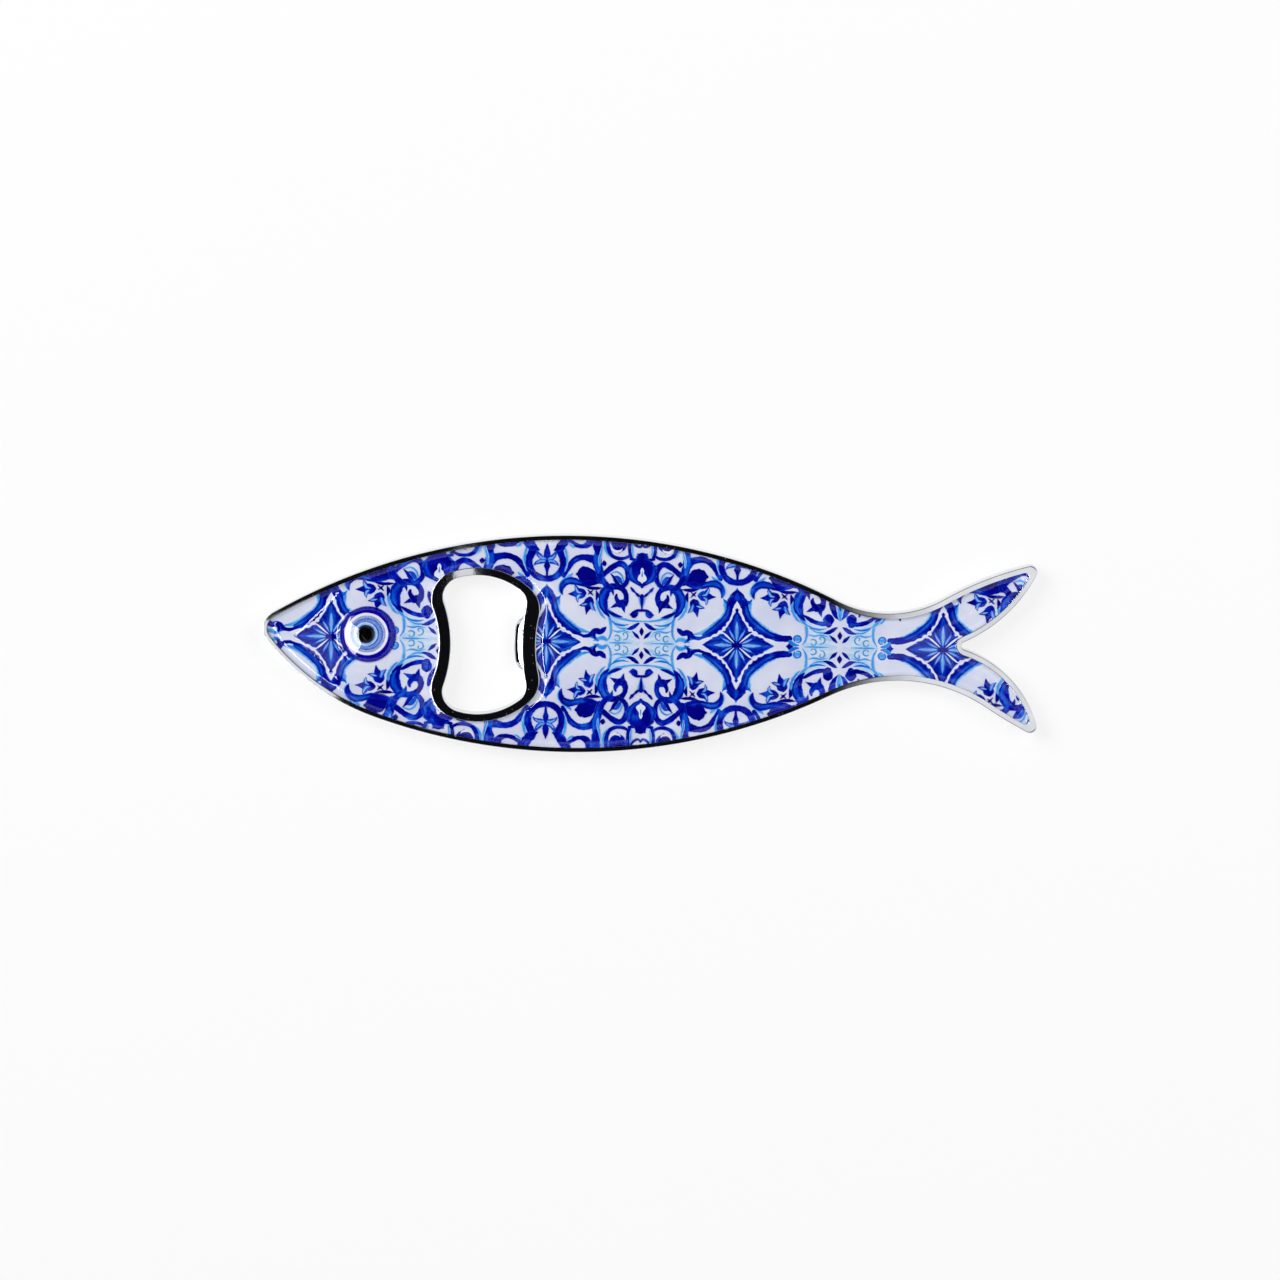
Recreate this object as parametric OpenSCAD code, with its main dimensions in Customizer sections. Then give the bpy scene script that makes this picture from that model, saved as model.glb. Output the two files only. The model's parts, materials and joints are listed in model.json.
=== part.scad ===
// Fish-shaped souvenir bottle opener: a plated die-cast body with a printed face under clear resin.
// The fish lies on its back, printed face up, nose towards -X. Millimetres.

/* [Body] */
// Height of the fish at its deepest section
body_h = 39.5; // [37:0.5:42]
// Radius of the back and belly arcs
back_r = 107; // [100:1:115]
// Radius of the chin arc
chin_r = 43; // [40:1:47]
// Distance from the deepest section forward to the start of the chin arc
chin_start = 35.5; // [33:0.5:38]
// Radius of the rounded nose
nose_r = 3.2; // [2.8:0.1:3.8]
// Thickness of the casting at its rim
body_t = 4.2; // [3.8:0.1:5.5]
// Width of the rounded outer edges
edge_w = 0.7; // [0.4:0.05:0.8]
// Width of the raised rim around the face
rim_w = 1.0; // [0.9:0.05:1.3]
// Depth of the recess that holds the face
recess_d = 1.2; // [0.8:0.1:1.6]

/* [Tail] */
// Height of the tail stalk above the middle line
stalk_up = 6.2; // [5.6:0.1:7]
// Height of the tail stalk below the middle line
stalk_down = 6.1; // [5.6:0.1:7]
// Radius of the hollow above the stalk
stalk_up_r = 20; // [18:0.5:23]
// Radius of the hollow below the stalk
stalk_down_r = 28.5; // [26:0.5:32]
// Slope of the upper lobe where it leaves its hollow, in degrees
lobe_up_slope = 30; // [27:1:33]
// Slope of the lower lobe where it leaves its hollow, in degrees
lobe_down_slope = 33.5; // [31:0.5:36]
// Radius of the upper lobe's outer edge
lobe_up_r = 60; // [54:1:80]
// Radius of the lower lobe's outer edge
lobe_down_r = 80; // [70:1:100]
// Length of the tail from its stalk to the lobe corners
tail_l = 27.7; // [26:0.1:30]
// Depth of the fork from the lobe corners to its corner
fork_d = 15.9; // [15:0.1:18]
// Height of the fork's corner above the middle line
fork_y = 0.3; // [-0.5:0.1:0.8]
// Radius of the upper lobe's inner edge
fork_up_r = 26.5; // [23:0.5:32]
// Radius of the lower lobe's inner edge
fork_down_r = 20.2; // [19:0.2:26]
// Radius of the lobe tips
tip_r = 1.2; // [1.1:0.1:1.6]
// Radius of the fork's corner
notch_r = 0.7; // [0.5:0.1:1]
// Radius of the face's own tips inside the rim
face_tip_r = 0.7; // [0.6:0.05:0.9]

/* [Opening] */
// Distance from the deepest section forward to the middle of the opening
opening_x = 17; // [15.5:0.5:18.5]
// Radius of the opening's upper and lower arcs
opening_r = 12.6; // [12:0.1:13.2]
// Reach of the opening towards the nose
opening_front = 6.15; // [5.8:0.05:6.6]
// Reach of the opening towards the tail
opening_rear = 9.1; // [8.8:0.05:9.4]
// Radius of the opening's front corners
front_corner_r = 3.6; // [3.2:0.1:4]
// Radius of the opening's rear corners
rear_corner_r = 3.4; // [3:0.1:3.8]
// Swell of the front wall into the opening
front_swell = 1.45; // [1:0.05:1.8]
// Swell of the rear wall into the opening
rear_swell = 0.7; // [0.4:0.05:1]
// Width of the opening's metal rim at its front and rear
opening_rim_w = 2.2; // [1.8:0.1:2.6]
// Width of the opening's metal rim above and below
opening_rim_h = 1.4; // [1.2:0.1:2]
// Width of the rounded edges of the opening
opening_edge_w = 1.0; // [0.5:0.1:1.4]
// Reach of the prising tooth from the rear wall
tooth_reach = 1.2; // [0.8:0.1:1.6]
// Radius of the tooth's nose in plan
tooth_r = 11; // [9:0.5:13]
// Thickness of the prising tooth
tooth_t = 1.5; // [1.2:0.1:2]
// Height of the tooth's underside above the back
tooth_z = 0.4; // [0.3:0.1:0.8]

/* [Face] */
// Thickness of the adhesive under the printed sheet
adhesive_t = 0.1; // [0.05:0.05:0.15]
// Thickness of the printed sheet
print_t = 0.2; // [0.1:0.05:0.3]
// Gap between the face layers and the rim
face_gap = 0.1; // [0.05:0.05:0.2]
// Rise of the resin above the rim
resin_crown = 0.3; // [0.1:0.05:0.5]
// Width of the resin's rounded border
resin_edge_w = 0.5; // [0.3:0.05:0.5]

/* [Eye] */
// Distance from the deepest section forward to the eye
eye_x = 36.6; // [35:0.2:39]
// Height of the eye above the middle line
eye_y = 1.2; // [0:0.2:2]
// Radius of the eye
eye_r = 5.1; // [4.4:0.1:5.8]
// Thickness of the printed eye disc
eye_disc_t = 0.2; // [0.1:0.05:0.3]
// Height of the eye's clear dome
eye_lens_h = 1.9; // [1.5:0.1:2.6]
// Gap between the eye and the resin around it
eye_gap = 0.05; // [0.03:0.01:0.1]

/* [Magnet] */
// Length of the magnet strip in the back
magnet_l = 34; // [28:1:40]
// Width of the magnet strip
magnet_w = 12; // [9:0.5:15]
// Thickness of the magnet strip
magnet_t = 1.4; // [1:0.1:1.5]
// Thickness of the glue behind the magnet
magnet_glue_t = 0.1; // [0.05:0.05:0.2]
// Distance from the deepest section back to the middle of the magnet
magnet_x = 20; // [17:0.5:24]
// Gap around the magnet in its pocket
magnet_gap = 0.2; // [0.1:0.05:0.4]

/* [Hidden] */

// Longest chord on an outline
chord = 2.4;
// Least number of chords on an arc
least_chords = 4;
// Overlap that makes a cut run past a surface
over = 1;
// Facets on round pieces
$fn = 96;

// Where the circles about c1 and c2 with radii d1 and d2 cross, on the left of c1 to c2 when side is 1
function meet(c1, d1, c2, d2, side) =
    let (v = c2 - c1, d = norm(v), u = v / d, a = (d1 * d1 - d2 * d2 + d * d) / (2 * d))
    c1 + a * u + side * sqrt(d1 * d1 - a * a) * [-u.y, u.x];

// Centre of an arc of radius r through p and q, on the left of p to q
function through(p, q, r) = meet(p, r, q, r, 1);

// An outline is a ring of tangent arcs, each [centre, radius], counter-clockwise.
// A hollow arc has a negative radius, so an inset only shortens every radius.
function joint(a, b) = (a[0] - b[0]) / (b[1] - a[1]);
function turn(from, to) = (to - from + 720) % 360;
function arc_points(before, arc, after, inset) =
    let (
        n0 = joint(before, arc),
        n1 = joint(arc, after),
        a0 = atan2(n0.y, n0.x),
        a1 = atan2(n1.y, n1.x),
        sweep = arc[1] > 0 ? turn(a0, a1) : -turn(a1, a0),
        count = max(least_chords, ceil(abs(sweep * arc[1]) * PI / 180 / chord))
    )
    [for (i = [0 : count - 1]) let (a = a0 + sweep * i / count)
        arc[0] + (arc[1] - inset) * [cos(a), sin(a)]];
function outline(arcs, inset = 0) =
    let (n = len(arcs))
    [for (i = [0 : n - 1]) each arc_points(arcs[(i + n - 1) % n], arcs[i], arcs[(i + 1) % n], inset)];

// The fish, first about its deepest section, whose arcs are level there
half_h = body_h / 2;
back_c = [0, half_h - back_r];
belly_c = [0, back_r - half_h];
chin_at = asin(chin_start / back_r);
chin_c = belly_c - (back_r - chin_r) * [sin(chin_at), cos(chin_at)];
nose_c = meet(back_c, back_r - nose_r, chin_c, chin_r - nose_r, 1);
nose_x = nose_c.x - nose_r;

// The stalk's hollows touch the back and the belly, and are level at the stalk
function stalk_x(h, r) = sqrt(pow(back_r + r, 2) - pow(back_r - half_h + h + r, 2));
up_c = [stalk_x(stalk_up, stalk_up_r), stalk_up + stalk_up_r];
down_c = [stalk_x(stalk_down, stalk_down_r), -stalk_down - stalk_down_r];
function lobe_c(c, r, slope, lobe_r, way) = c - (r + lobe_r) * [-sin(slope), way * cos(slope)];
lobe_up_c = lobe_c(up_c, stalk_up_r, lobe_up_slope, lobe_up_r, 1);
lobe_down_c = lobe_c(down_c, stalk_down_r, lobe_down_slope, lobe_down_r, -1);

// The lobes' corners lie on their outer arcs, and the inner arcs run from there to the fork's corner
corner_x = up_c.x + tail_l;
function corner(c, r, way) = [corner_x, c.y + way * sqrt(r * r - pow(corner_x - c.x, 2))];
up_corner = corner(lobe_up_c, lobe_up_r, 1);
down_corner = corner(lobe_down_c, lobe_down_r, -1);
fork = [corner_x - fork_d, fork_y];
fork_up_c = through(fork, up_corner, fork_up_r);
fork_down_c = through(down_corner, fork, fork_down_r);
notch_c = meet(fork_down_c, fork_down_r + notch_r, fork_up_c, fork_up_r + notch_r, -1);

// Ring of arcs with lobe tips of radius r
function fish(r) = [
    [nose_c, nose_r],
    [chin_c, chin_r],
    [belly_c, back_r],
    [down_c, -stalk_down_r],
    [lobe_down_c, lobe_down_r],
    [meet(lobe_down_c, lobe_down_r - r, fork_down_c, fork_down_r - r, 1), r],
    [fork_down_c, fork_down_r],
    [notch_c, -notch_r],
    [fork_up_c, fork_up_r],
    [meet(fork_up_c, fork_up_r - r, lobe_up_c, lobe_up_r - r, 1), r],
    [lobe_up_c, lobe_up_r],
    [up_c, -stalk_up_r],
    [back_c, back_r]
];

// The opening, wider by w at each end and higher by h above and below:
// two arcs of one circle, rounded corners, and a swell in each end wall
opening_c = [-opening_x, 0];
function corner_c(ring_r, reach, r) = let (dx = reach - r) [dx, sqrt(pow(ring_r - r, 2) - dx * dx)];
function swell_r(c, r, wall) = let (d = wall - c.x) (d * d + c.y * c.y - r * r) / (2 * (r - d));
function opening(w, h) =
    let (
        ring_r = opening_r + h,
        r1 = front_corner_r + (w + h) / 2,
        r2 = rear_corner_r + (w + h) / 2,
        c1 = corner_c(ring_r, opening_front + w, r1),
        c2 = corner_c(ring_r, opening_rear + w, r2),
        wall1 = opening_front + w - front_swell,
        wall2 = opening_rear + w - rear_swell,
        s1 = swell_r(c1, r1, wall1),
        s2 = swell_r(c2, r2, wall2)
    )
    [for (arc = [
        [[0, 0], ring_r],
        [[-c1.x, c1.y], r1],
        [[-wall1 - s1, 0], -s1],
        [[-c1.x, -c1.y], r1],
        [[0, 0], ring_r],
        [[c2.x, -c2.y], r2],
        [[wall2 + s2, 0], -s2],
        [[c2.x, c2.y], r2]
    ]) [opening_c + arc[0], arc[1]]];

// The outer edge of the metal, the edge of the face recess, the opening and the edge of its rim
metal = fish(tip_r);
face = fish(rim_w + face_tip_r);
hole = opening(0, 0);
hole_rim = opening(opening_rim_w, opening_rim_h);

// The origin is under the middle of the fish's length
rim_points = outline(metal);
middle_x = (max([for (p = rim_points) p.x]) + nose_x) / 2;

// Heights of the layers
recess_z = body_t - recess_d;
print_z = recess_z + adhesive_t;
resin_z = print_z + print_t;
resin_top = body_t + resin_crown;
lens_z = resin_z + eye_disc_t;
pocket_d = magnet_t + magnet_glue_t;

// Share of an edge's width and height at each ring of a quarter round
round_steps = 2;
round_rings = [for (i = [0 : round_steps]) let (a = 90 * i / round_steps) [1 - cos(a), sin(a)]];

// Solid with one outline at each of its rings, each [inset, height], lowest first
module loft(arcs, rings) {
    rows = [for (ring = rings) [for (p = outline(arcs, ring[0])) [p.x, p.y, ring[1]]]];
    n = len(rows[0]);
    last = len(rows) - 1;
    sides = [for (k = [0 : last - 1]) for (i = [0 : n - 1])
        let (a = k * n + i, b = k * n + (i + 1) % n)
        each [[a, b + n, b], [a, a + n, b + n]]];
    floor_cap = [[for (i = [0 : n - 1]) i]];
    top_cap = [[for (i = [n - 1 : -1 : 0]) last * n + i]];
    polyhedron([for (row = rows) each row], concat(floor_cap, sides, top_cap));
}

// Rings of a plate with both edges rounded by w
function round_plate(t, w) = concat(
    [for (i = [round_steps : -1 : 0]) [w * round_rings[i][0], w * (1 - round_rings[i][1])]],
    [for (i = [0 : round_steps]) [w * round_rings[i][0], t - w * (1 - round_rings[i][1])]]
);

// Rings of a hole whose edges flare out by w at both faces
function flared_hole(t, w) = concat(
    [[-w, -over]],
    [for (i = [round_steps : -1 : 0]) [-w * round_rings[i][0], w * (1 - round_rings[i][1])]],
    [for (i = [0 : round_steps]) [-w * round_rings[i][0], t - w * (1 - round_rings[i][1])]],
    [[-w, t + over]]
);

// Flat shape of a face layer, clear of the recess walls by gap
module face_shape(gap) {
    difference() {
        polygon(outline(face, rim_w + gap));
        polygon(outline(hole_rim, -gap));
    }
}

module layer(z, t, gap) {
    translate([0, 0, z]) linear_extrude(t) face_shape(gap);
}

// A block in the back, with gap added on every side but the mouth
module magnet_block(gap, z, t) {
    size = [magnet_l + 2 * gap, magnet_w + 2 * gap, t];
    translate([magnet_x - size.x / 2, -size.y / 2, z]) cube(size);
}

// The tooth's nose is a round bar's side, cut off inside the rear wall
module tooth() {
    nose_at = opening_c.x + opening_rear - rear_swell - tooth_reach;
    root = tooth_reach + opening_rim_w / 2;
    intersection() {
        translate([nose_at + tooth_r, 0, tooth_z]) cylinder(r = tooth_r, h = tooth_t);
        translate([nose_at - over, -tooth_r, 0]) cube([root + over, 2 * tooth_r, tooth_z + tooth_t + over]);
    }
}

module casting() {
    difference() {
        loft(metal, round_plate(body_t, edge_w));
        layer(recess_z, recess_d + over, 0);
        loft(hole, flared_hole(body_t, opening_edge_w));
        magnet_block(magnet_gap, -over, pocket_d + over);
    }
}

module body() color("silver") place() union() {
    casting();
    tooth();
}

module print_adhesive() color("lightgray") place() layer(recess_z, adhesive_t, face_gap);

module printed_sheet() color("royalblue") place() layer(print_z, print_t, face_gap);

// The resin has a rounded border, a bore for the eye and a cut for the opening
module resin_coat() color("azure", 0.4) place() {
    border = rim_w + face_gap;
    difference() {
        loft(face, concat(
            [[border, resin_z]],
            [for (ring = round_rings) [border + resin_edge_w * ring[0], body_t + resin_crown * ring[1]]]
        ));
        translate([0, 0, resin_z - over]) linear_extrude(resin_top + over)
            polygon(outline(hole_rim, -face_gap));
        translate([-eye_x, eye_y, resin_z - over]) cylinder(r = eye_r + eye_gap, h = resin_top + over);
    }
}

module eye_disc() color("navy") place()
    translate([-eye_x, eye_y, resin_z]) cylinder(r = eye_r, h = eye_disc_t);

// The dome is a cap of a ball
module eye_lens() color("white", 0.4) place() {
    ball_r = (eye_r * eye_r + eye_lens_h * eye_lens_h) / (2 * eye_lens_h);
    translate([-eye_x, eye_y, lens_z]) intersection() {
        translate([0, 0, eye_lens_h - ball_r]) sphere(r = ball_r);
        cylinder(r = ball_r + over, h = eye_lens_h + over);
    }
}

module magnet_glue() color("gainsboro") place() magnet_block(0, magnet_t, magnet_glue_t);

module back_magnet() color("dimgray") place() magnet_block(0, 0, magnet_t);

module place() translate([-middle_x, 0, 0]) children();

body();
print_adhesive();
printed_sheet();
resin_coat();
eye_disc();
eye_lens();
magnet_glue();
back_magnet();
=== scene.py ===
# %% [markdown]
# A fish-shaped bottle opener
#
# The opener is a polished, chrome-plated casting in the outline of a fish. Its face is a blue-and-white
# printed film under clear resin, the fish's eye is a printed disc under a clear dome, and a magnet strip
# sits in the back. The CAD model is loaded first, as a fixed frame in metres, and every piece below is
# built in that same frame. Sizes are written in millimetres, and MM turns them to metres.

# %% Load the frame
import json
import math
import bmesh
import bpy
import numpy as np
from mathutils import Matrix, Vector, geometry

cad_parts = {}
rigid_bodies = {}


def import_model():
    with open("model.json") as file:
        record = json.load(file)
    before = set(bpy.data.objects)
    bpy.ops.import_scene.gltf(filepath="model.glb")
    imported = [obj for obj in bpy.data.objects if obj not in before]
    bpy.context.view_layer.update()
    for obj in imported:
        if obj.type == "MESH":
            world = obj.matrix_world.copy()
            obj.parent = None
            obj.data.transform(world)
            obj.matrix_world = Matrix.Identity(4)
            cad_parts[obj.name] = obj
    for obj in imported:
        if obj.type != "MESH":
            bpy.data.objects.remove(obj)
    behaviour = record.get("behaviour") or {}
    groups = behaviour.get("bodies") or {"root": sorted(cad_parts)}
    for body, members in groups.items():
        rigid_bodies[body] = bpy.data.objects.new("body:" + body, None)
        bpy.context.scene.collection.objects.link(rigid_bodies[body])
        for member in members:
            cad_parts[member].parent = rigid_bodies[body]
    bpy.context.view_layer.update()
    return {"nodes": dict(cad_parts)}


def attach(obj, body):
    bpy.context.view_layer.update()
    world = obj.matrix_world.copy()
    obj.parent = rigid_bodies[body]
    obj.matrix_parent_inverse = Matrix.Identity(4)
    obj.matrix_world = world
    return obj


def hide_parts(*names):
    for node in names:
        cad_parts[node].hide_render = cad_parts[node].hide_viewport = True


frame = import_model()
MM = 0.001
print("nodes:", sorted(frame["nodes"]))

# %% [markdown]
# The outline
#
# On the real opener the fish is one smooth line, cut into the casting die. A curve with handles could
# follow it, but a designer draws such a line with tangent arcs, and arcs have an advantage: if every arc is
# a centre and a radius, with hollow arcs negative, then a point is the centre plus the radius along the
# outward normal, and an inset only takes its amount from every radius. The same few arcs then give the
# outer edge, the rim and the print's edge.

# %% Arcs of the fish
BODY_H, BACK_R, CHIN_R, CHIN_START, NOSE_R = 39.5, 107.0, 43.0, 35.5, 3.2
STALK_UP, STALK_DOWN, STALK_UP_R, STALK_DOWN_R = 6.2, 6.1, 20.0, 28.5
LOBE_UP_SLOPE, LOBE_DOWN_SLOPE, LOBE_UP_R, LOBE_DOWN_R = 30.0, 33.5, 60.0, 80.0
TAIL_L, FORK_D, FORK_Y, FORK_UP_R, FORK_DOWN_R, NOTCH_R = 27.7, 15.9, 0.3, 26.5, 20.2, 0.7
TIP_R, FACE_TIP_R, RIM_W = 1.2, 0.7, 1.05


def meet(c1, d1, c2, d2, side):
    """Where circles of radii d1 and d2 cross, on the left of the line from c1 to c2 when side is 1."""
    c1, c2 = np.array(c1, float), np.array(c2, float)
    span = np.linalg.norm(c2 - c1)
    along = (c2 - c1) / span
    reach = (d1 * d1 - d2 * d2 + span * span) / (2 * span)
    return c1 + reach * along + side * math.sqrt(d1 * d1 - reach * reach) * np.array([-along[1], along[0]])


def fish_arcs(tip_r):
    """The fish as tangent arcs (centre, radius), counter-clockwise from the nose, with lobe tips of tip_r."""
    half = BODY_H / 2
    back, belly = np.array([0, half - BACK_R]), np.array([0, BACK_R - half])
    lean = math.asin(CHIN_START / BACK_R)
    chin = belly - (BACK_R - CHIN_R) * np.array([math.sin(lean), math.cos(lean)])
    nose = meet(back, BACK_R - NOSE_R, chin, CHIN_R - NOSE_R, 1)

    def stalk(height, r, way):
        """Centre of the hollow arc that touches the body's arc and is height away from the middle line."""
        x = math.sqrt((BACK_R + r) ** 2 - (BACK_R - half + height + r) ** 2)
        return np.array([x, way * (height + r)])

    def lobe(c, r, slope, lobe_r, way):
        """Centre of the lobe's arc: it touches the hollow arc where that has the given slope in degrees."""
        a = math.radians(slope)
        return c - (r + lobe_r) * np.array([-math.sin(a), way * math.cos(a)])

    up, down = stalk(STALK_UP, STALK_UP_R, 1), stalk(STALK_DOWN, STALK_DOWN_R, -1)
    lobe_up = lobe(up, STALK_UP_R, LOBE_UP_SLOPE, LOBE_UP_R, 1)
    lobe_down = lobe(down, STALK_DOWN_R, LOBE_DOWN_SLOPE, LOBE_DOWN_R, -1)
    end_x = up[0] + TAIL_L
    corner_up = [end_x, lobe_up[1] + math.sqrt(LOBE_UP_R ** 2 - (end_x - lobe_up[0]) ** 2)]
    corner_down = [end_x, lobe_down[1] - math.sqrt(LOBE_DOWN_R ** 2 - (end_x - lobe_down[0]) ** 2)]
    fork = [end_x - FORK_D, FORK_Y]
    fork_up = meet(fork, FORK_UP_R, corner_up, FORK_UP_R, 1)
    fork_down = meet(corner_down, FORK_DOWN_R, fork, FORK_DOWN_R, 1)
    notch = meet(fork_down, FORK_DOWN_R + NOTCH_R, fork_up, FORK_UP_R + NOTCH_R, -1)
    tip_down = meet(lobe_down, LOBE_DOWN_R - tip_r, fork_down, FORK_DOWN_R - tip_r, 1)
    tip_up = meet(fork_up, FORK_UP_R - tip_r, lobe_up, LOBE_UP_R - tip_r, 1)
    return [
        (nose, NOSE_R), (chin, CHIN_R), (belly, BACK_R), (down, -STALK_DOWN_R), (lobe_down, LOBE_DOWN_R),
        (tip_down, tip_r), (fork_down, FORK_DOWN_R), (notch, -NOTCH_R), (fork_up, FORK_UP_R),
        (tip_up, tip_r), (lobe_up, LOBE_UP_R), (up, -STALK_UP_R), (back, BACK_R),
    ]


metal_arcs, face_arcs = fish_arcs(TIP_R), fish_arcs(RIM_W + FACE_TIP_R)
print("arcs round the fish:", len(metal_arcs))

# %% [markdown]
# The opening takes a crown cap, so it is part of a circle. A wall that swells inwards closes it at the front
# and another at the rear, with rounded corners between. The broad rim round it is the same drawing, grown.

# %% Arcs of the opening
OPENING_X, OPENING_Y, OPENING_R, OPENING_FRONT, OPENING_REAR = -17.0, -0.3, 12.6, 6.15, 9.1
FRONT_CORNER_R, REAR_CORNER_R, FRONT_SWELL, REAR_SWELL = 3.6, 3.4, 1.45, 0.7
REAR_FORWARD, OPENING_RIM_W, OPENING_RIM_H = 0.35, 2.2, 1.4


def opening_arcs(front, rear, higher):
    """The opening grown at its front and rear ends and higher above and below, as tangent arcs."""
    ring_r = OPENING_R + higher
    middle = np.array([OPENING_X, OPENING_Y])

    def end(reach, wider, corner_r, swell):
        """One end: its corner's radius and centre, its wall's place, and the radius of the wall's swell."""
        r = corner_r + (wider + higher) / 2
        cx = reach + wider - r
        cy = math.sqrt((ring_r - r) ** 2 - cx * cx)
        wall = reach + wider - swell
        gap = wall - cx
        return r, cx, cy, wall, (gap * gap + cy * cy - r * r) / (2 * (r - gap))

    r1, x1, y1, wall1, s1 = end(OPENING_FRONT, front, FRONT_CORNER_R, FRONT_SWELL)
    r2, x2, y2, wall2, s2 = end(OPENING_REAR, rear, REAR_CORNER_R, REAR_SWELL)
    arcs = [((0, 0), ring_r), ((-x1, y1), r1), ((-wall1 - s1, 0), -s1), ((-x1, -y1), r1),
            ((0, 0), ring_r), ((x2, -y2), r2), ((wall2 + s2, 0), -s2), ((x2, y2), r2)]
    return [(middle + np.array(c), r) for c, r in arcs]


hole_arcs = opening_arcs(0, -REAR_FORWARD, 0)
hole_rim_arcs = opening_arcs(OPENING_RIM_W, OPENING_RIM_W, OPENING_RIM_H)
print("arcs round the opening:", len(hole_arcs))

# %% [markdown]
# Neighbouring arcs touch, so both have the same normal where they meet. That gives each arc's first angle
# and its turn. Every point keeps its centre, radius and normal, so each outline can be inset by any amount,
# and the points of two insets stay side by side, which is what a clean grid of faces needs.

# %% Points along the arcs
FISH_STEP, OPENING_STEP, LEAST_STEPS = 0.4, 0.3, 9
BODY_RIM_W, RIM_WIDENS_X, RIM_WIDE_X = 0.85, 25.0, 45.0


def sweeps(arcs):
    """First angle and turn of each arc. A shared normal is the centres' difference over the radii's."""
    centres, radii = np.array([c for c, r in arcs]), np.array([r for c, r in arcs])
    joints = (centres - np.roll(centres, -1, 0)) / (np.roll(radii, -1) - radii)[:, None]
    leave = np.arctan2(joints[:, 1], joints[:, 0])
    enter = np.roll(leave, 1)
    turn = np.where(radii > 0, (leave - enter) % (2 * np.pi), -((enter - leave) % (2 * np.pi)))
    return enter, turn


def arc_counts(arcs, step):
    """How many steps each arc takes: its length over step, and a few at least."""
    turn = sweeps(arcs)[1]
    return [max(LEAST_STEPS, math.ceil(abs(t * r) / step)) for t, (c, r) in zip(turn, arcs)]


class Edge:
    """A closed outline: centres, radii and outward normals of its points, so that any inset is one sum."""

    def __init__(self, arcs, counts):
        """Spreads counts points evenly over each arc's turn; a point's angle gives its normal."""
        enter, turn = sweeps(arcs)
        angle = np.concatenate([a + t * np.arange(n) / n for a, t, n in zip(enter, turn, counts)])
        self.normal = np.stack([np.cos(angle), np.sin(angle)], 1)
        self.centre = np.repeat(np.array([c for c, r in arcs]), counts, axis=0)
        self.radius = np.repeat(np.array([r for c, r in arcs], float), counts)
        self.arc = np.repeat(np.arange(len(arcs)), counts)

    def at(self, inset=0.0):
        """The points: centre plus (radius less inset) along the normal."""
        return self.centre + (self.radius - inset)[:, None] * self.normal


steps = arc_counts(metal_arcs, FISH_STEP)
metal, face = Edge(metal_arcs, steps), Edge(face_arcs, steps)
steps = arc_counts(hole_arcs, OPENING_STEP)
hole, hole_rim = Edge(hole_arcs, steps), Edge(hole_rim_arcs, steps)
reach = metal.at()[:, 0]
MIDDLE_X = (reach.max() + reach.min()) / 2
for edge in (metal, face, hole, hole_rim):
    edge.centre = edge.centre - [MIDDLE_X, 0]
widening = np.clip((metal.at()[:, 0] - RIM_WIDENS_X) / (RIM_WIDE_X - RIM_WIDENS_X), 0, 1)
rim_w = BODY_RIM_W + (RIM_W - BODY_RIM_W) * widening
print("outline points:", len(metal.radius), "opening points:", len(hole.radius))

# %% [markdown]
# Mesh helpers
#
# A profile carried along the outline is a grid: one row for each point of the profile, one column for
# each point of the outline. Flat areas with holes are filled with triangles between their loops. A piece
# made of several such parts is joined, its shared edges are merged, and its faces are turned outwards.

# %% Grids, fills and pieces
MERGE_AT = 0.001 * MM


def grid_faces(rows, columns, closed=True):
    """Quads between neighbouring rows and columns, numbered row by row, and around the ring if closed."""
    across = columns if closed else columns - 1
    r, c = np.meshgrid(np.arange(rows - 1), np.arange(across), indexing="ij")
    n = (c + 1) % columns
    corners = [r * columns + c, r * columns + n, (r + 1) * columns + n, (r + 1) * columns + c]
    return np.stack(corners, -1).reshape(-1, 4)


def flat_fill(loops):
    """Triangles that fill the first loop outside the others, numbered over all loops in a row."""
    return np.array(geometry.tessellate_polygon([[Vector((x, y, 0)) for x, y in loop] for loop in loops]))


def lift(points, z):
    """Flat points at height z, a number or one for each."""
    return np.column_stack([points, np.broadcast_to(z, len(points))])


def upright(loop, z0, z1):
    """An upright wall on a loop: its points at one height, then at the other, and the quads between."""
    return np.concatenate([lift(loop, z0), lift(loop, z1)]), grid_faces(2, len(loop))


def join(parts):
    """Several (points, faces) as one: each part's face numbers move up by the points before it."""
    faces, start = [], 0
    for points, part_faces in parts:
        faces += (np.asarray(part_faces) + start).tolist()
        start += len(points)
    return np.concatenate([points for points, part_faces in parts]), faces


def make_piece(name, parts, material, smooth=True):
    """A mesh object in metres from parts in millimetres, riding on the one body."""
    points, faces = join(parts)
    mesh = bpy.data.meshes.new(name)
    mesh.from_pydata((points * MM).tolist(), [], faces)
    mesh.validate()
    mesh.polygons.foreach_set("use_smooth", np.full(len(mesh.polygons), smooth))
    mesh.materials.append(material)
    piece = bpy.data.objects.new(name, mesh)
    bpy.context.scene.collection.objects.link(piece)
    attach(piece, "root")
    print(name, "vertices:", len(mesh.vertices))
    return piece


def closed_shell(piece):
    """Merges the parts' shared edges and turns every face outwards."""
    shell = bmesh.new()
    shell.from_mesh(piece.data)
    bmesh.ops.remove_doubles(shell, verts=shell.verts, dist=MERGE_AT)
    bmesh.ops.recalc_face_normals(shell, faces=shell.faces)
    open_edges = sum(1 for e in shell.edges if not e.is_manifold)
    shell.to_mesh(piece.data)
    shell.free()
    print(piece.name, "open edges:", open_edges)


print("faces in a ring of 3 rows and 8 columns:", len(grid_faces(3, 8)))

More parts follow.
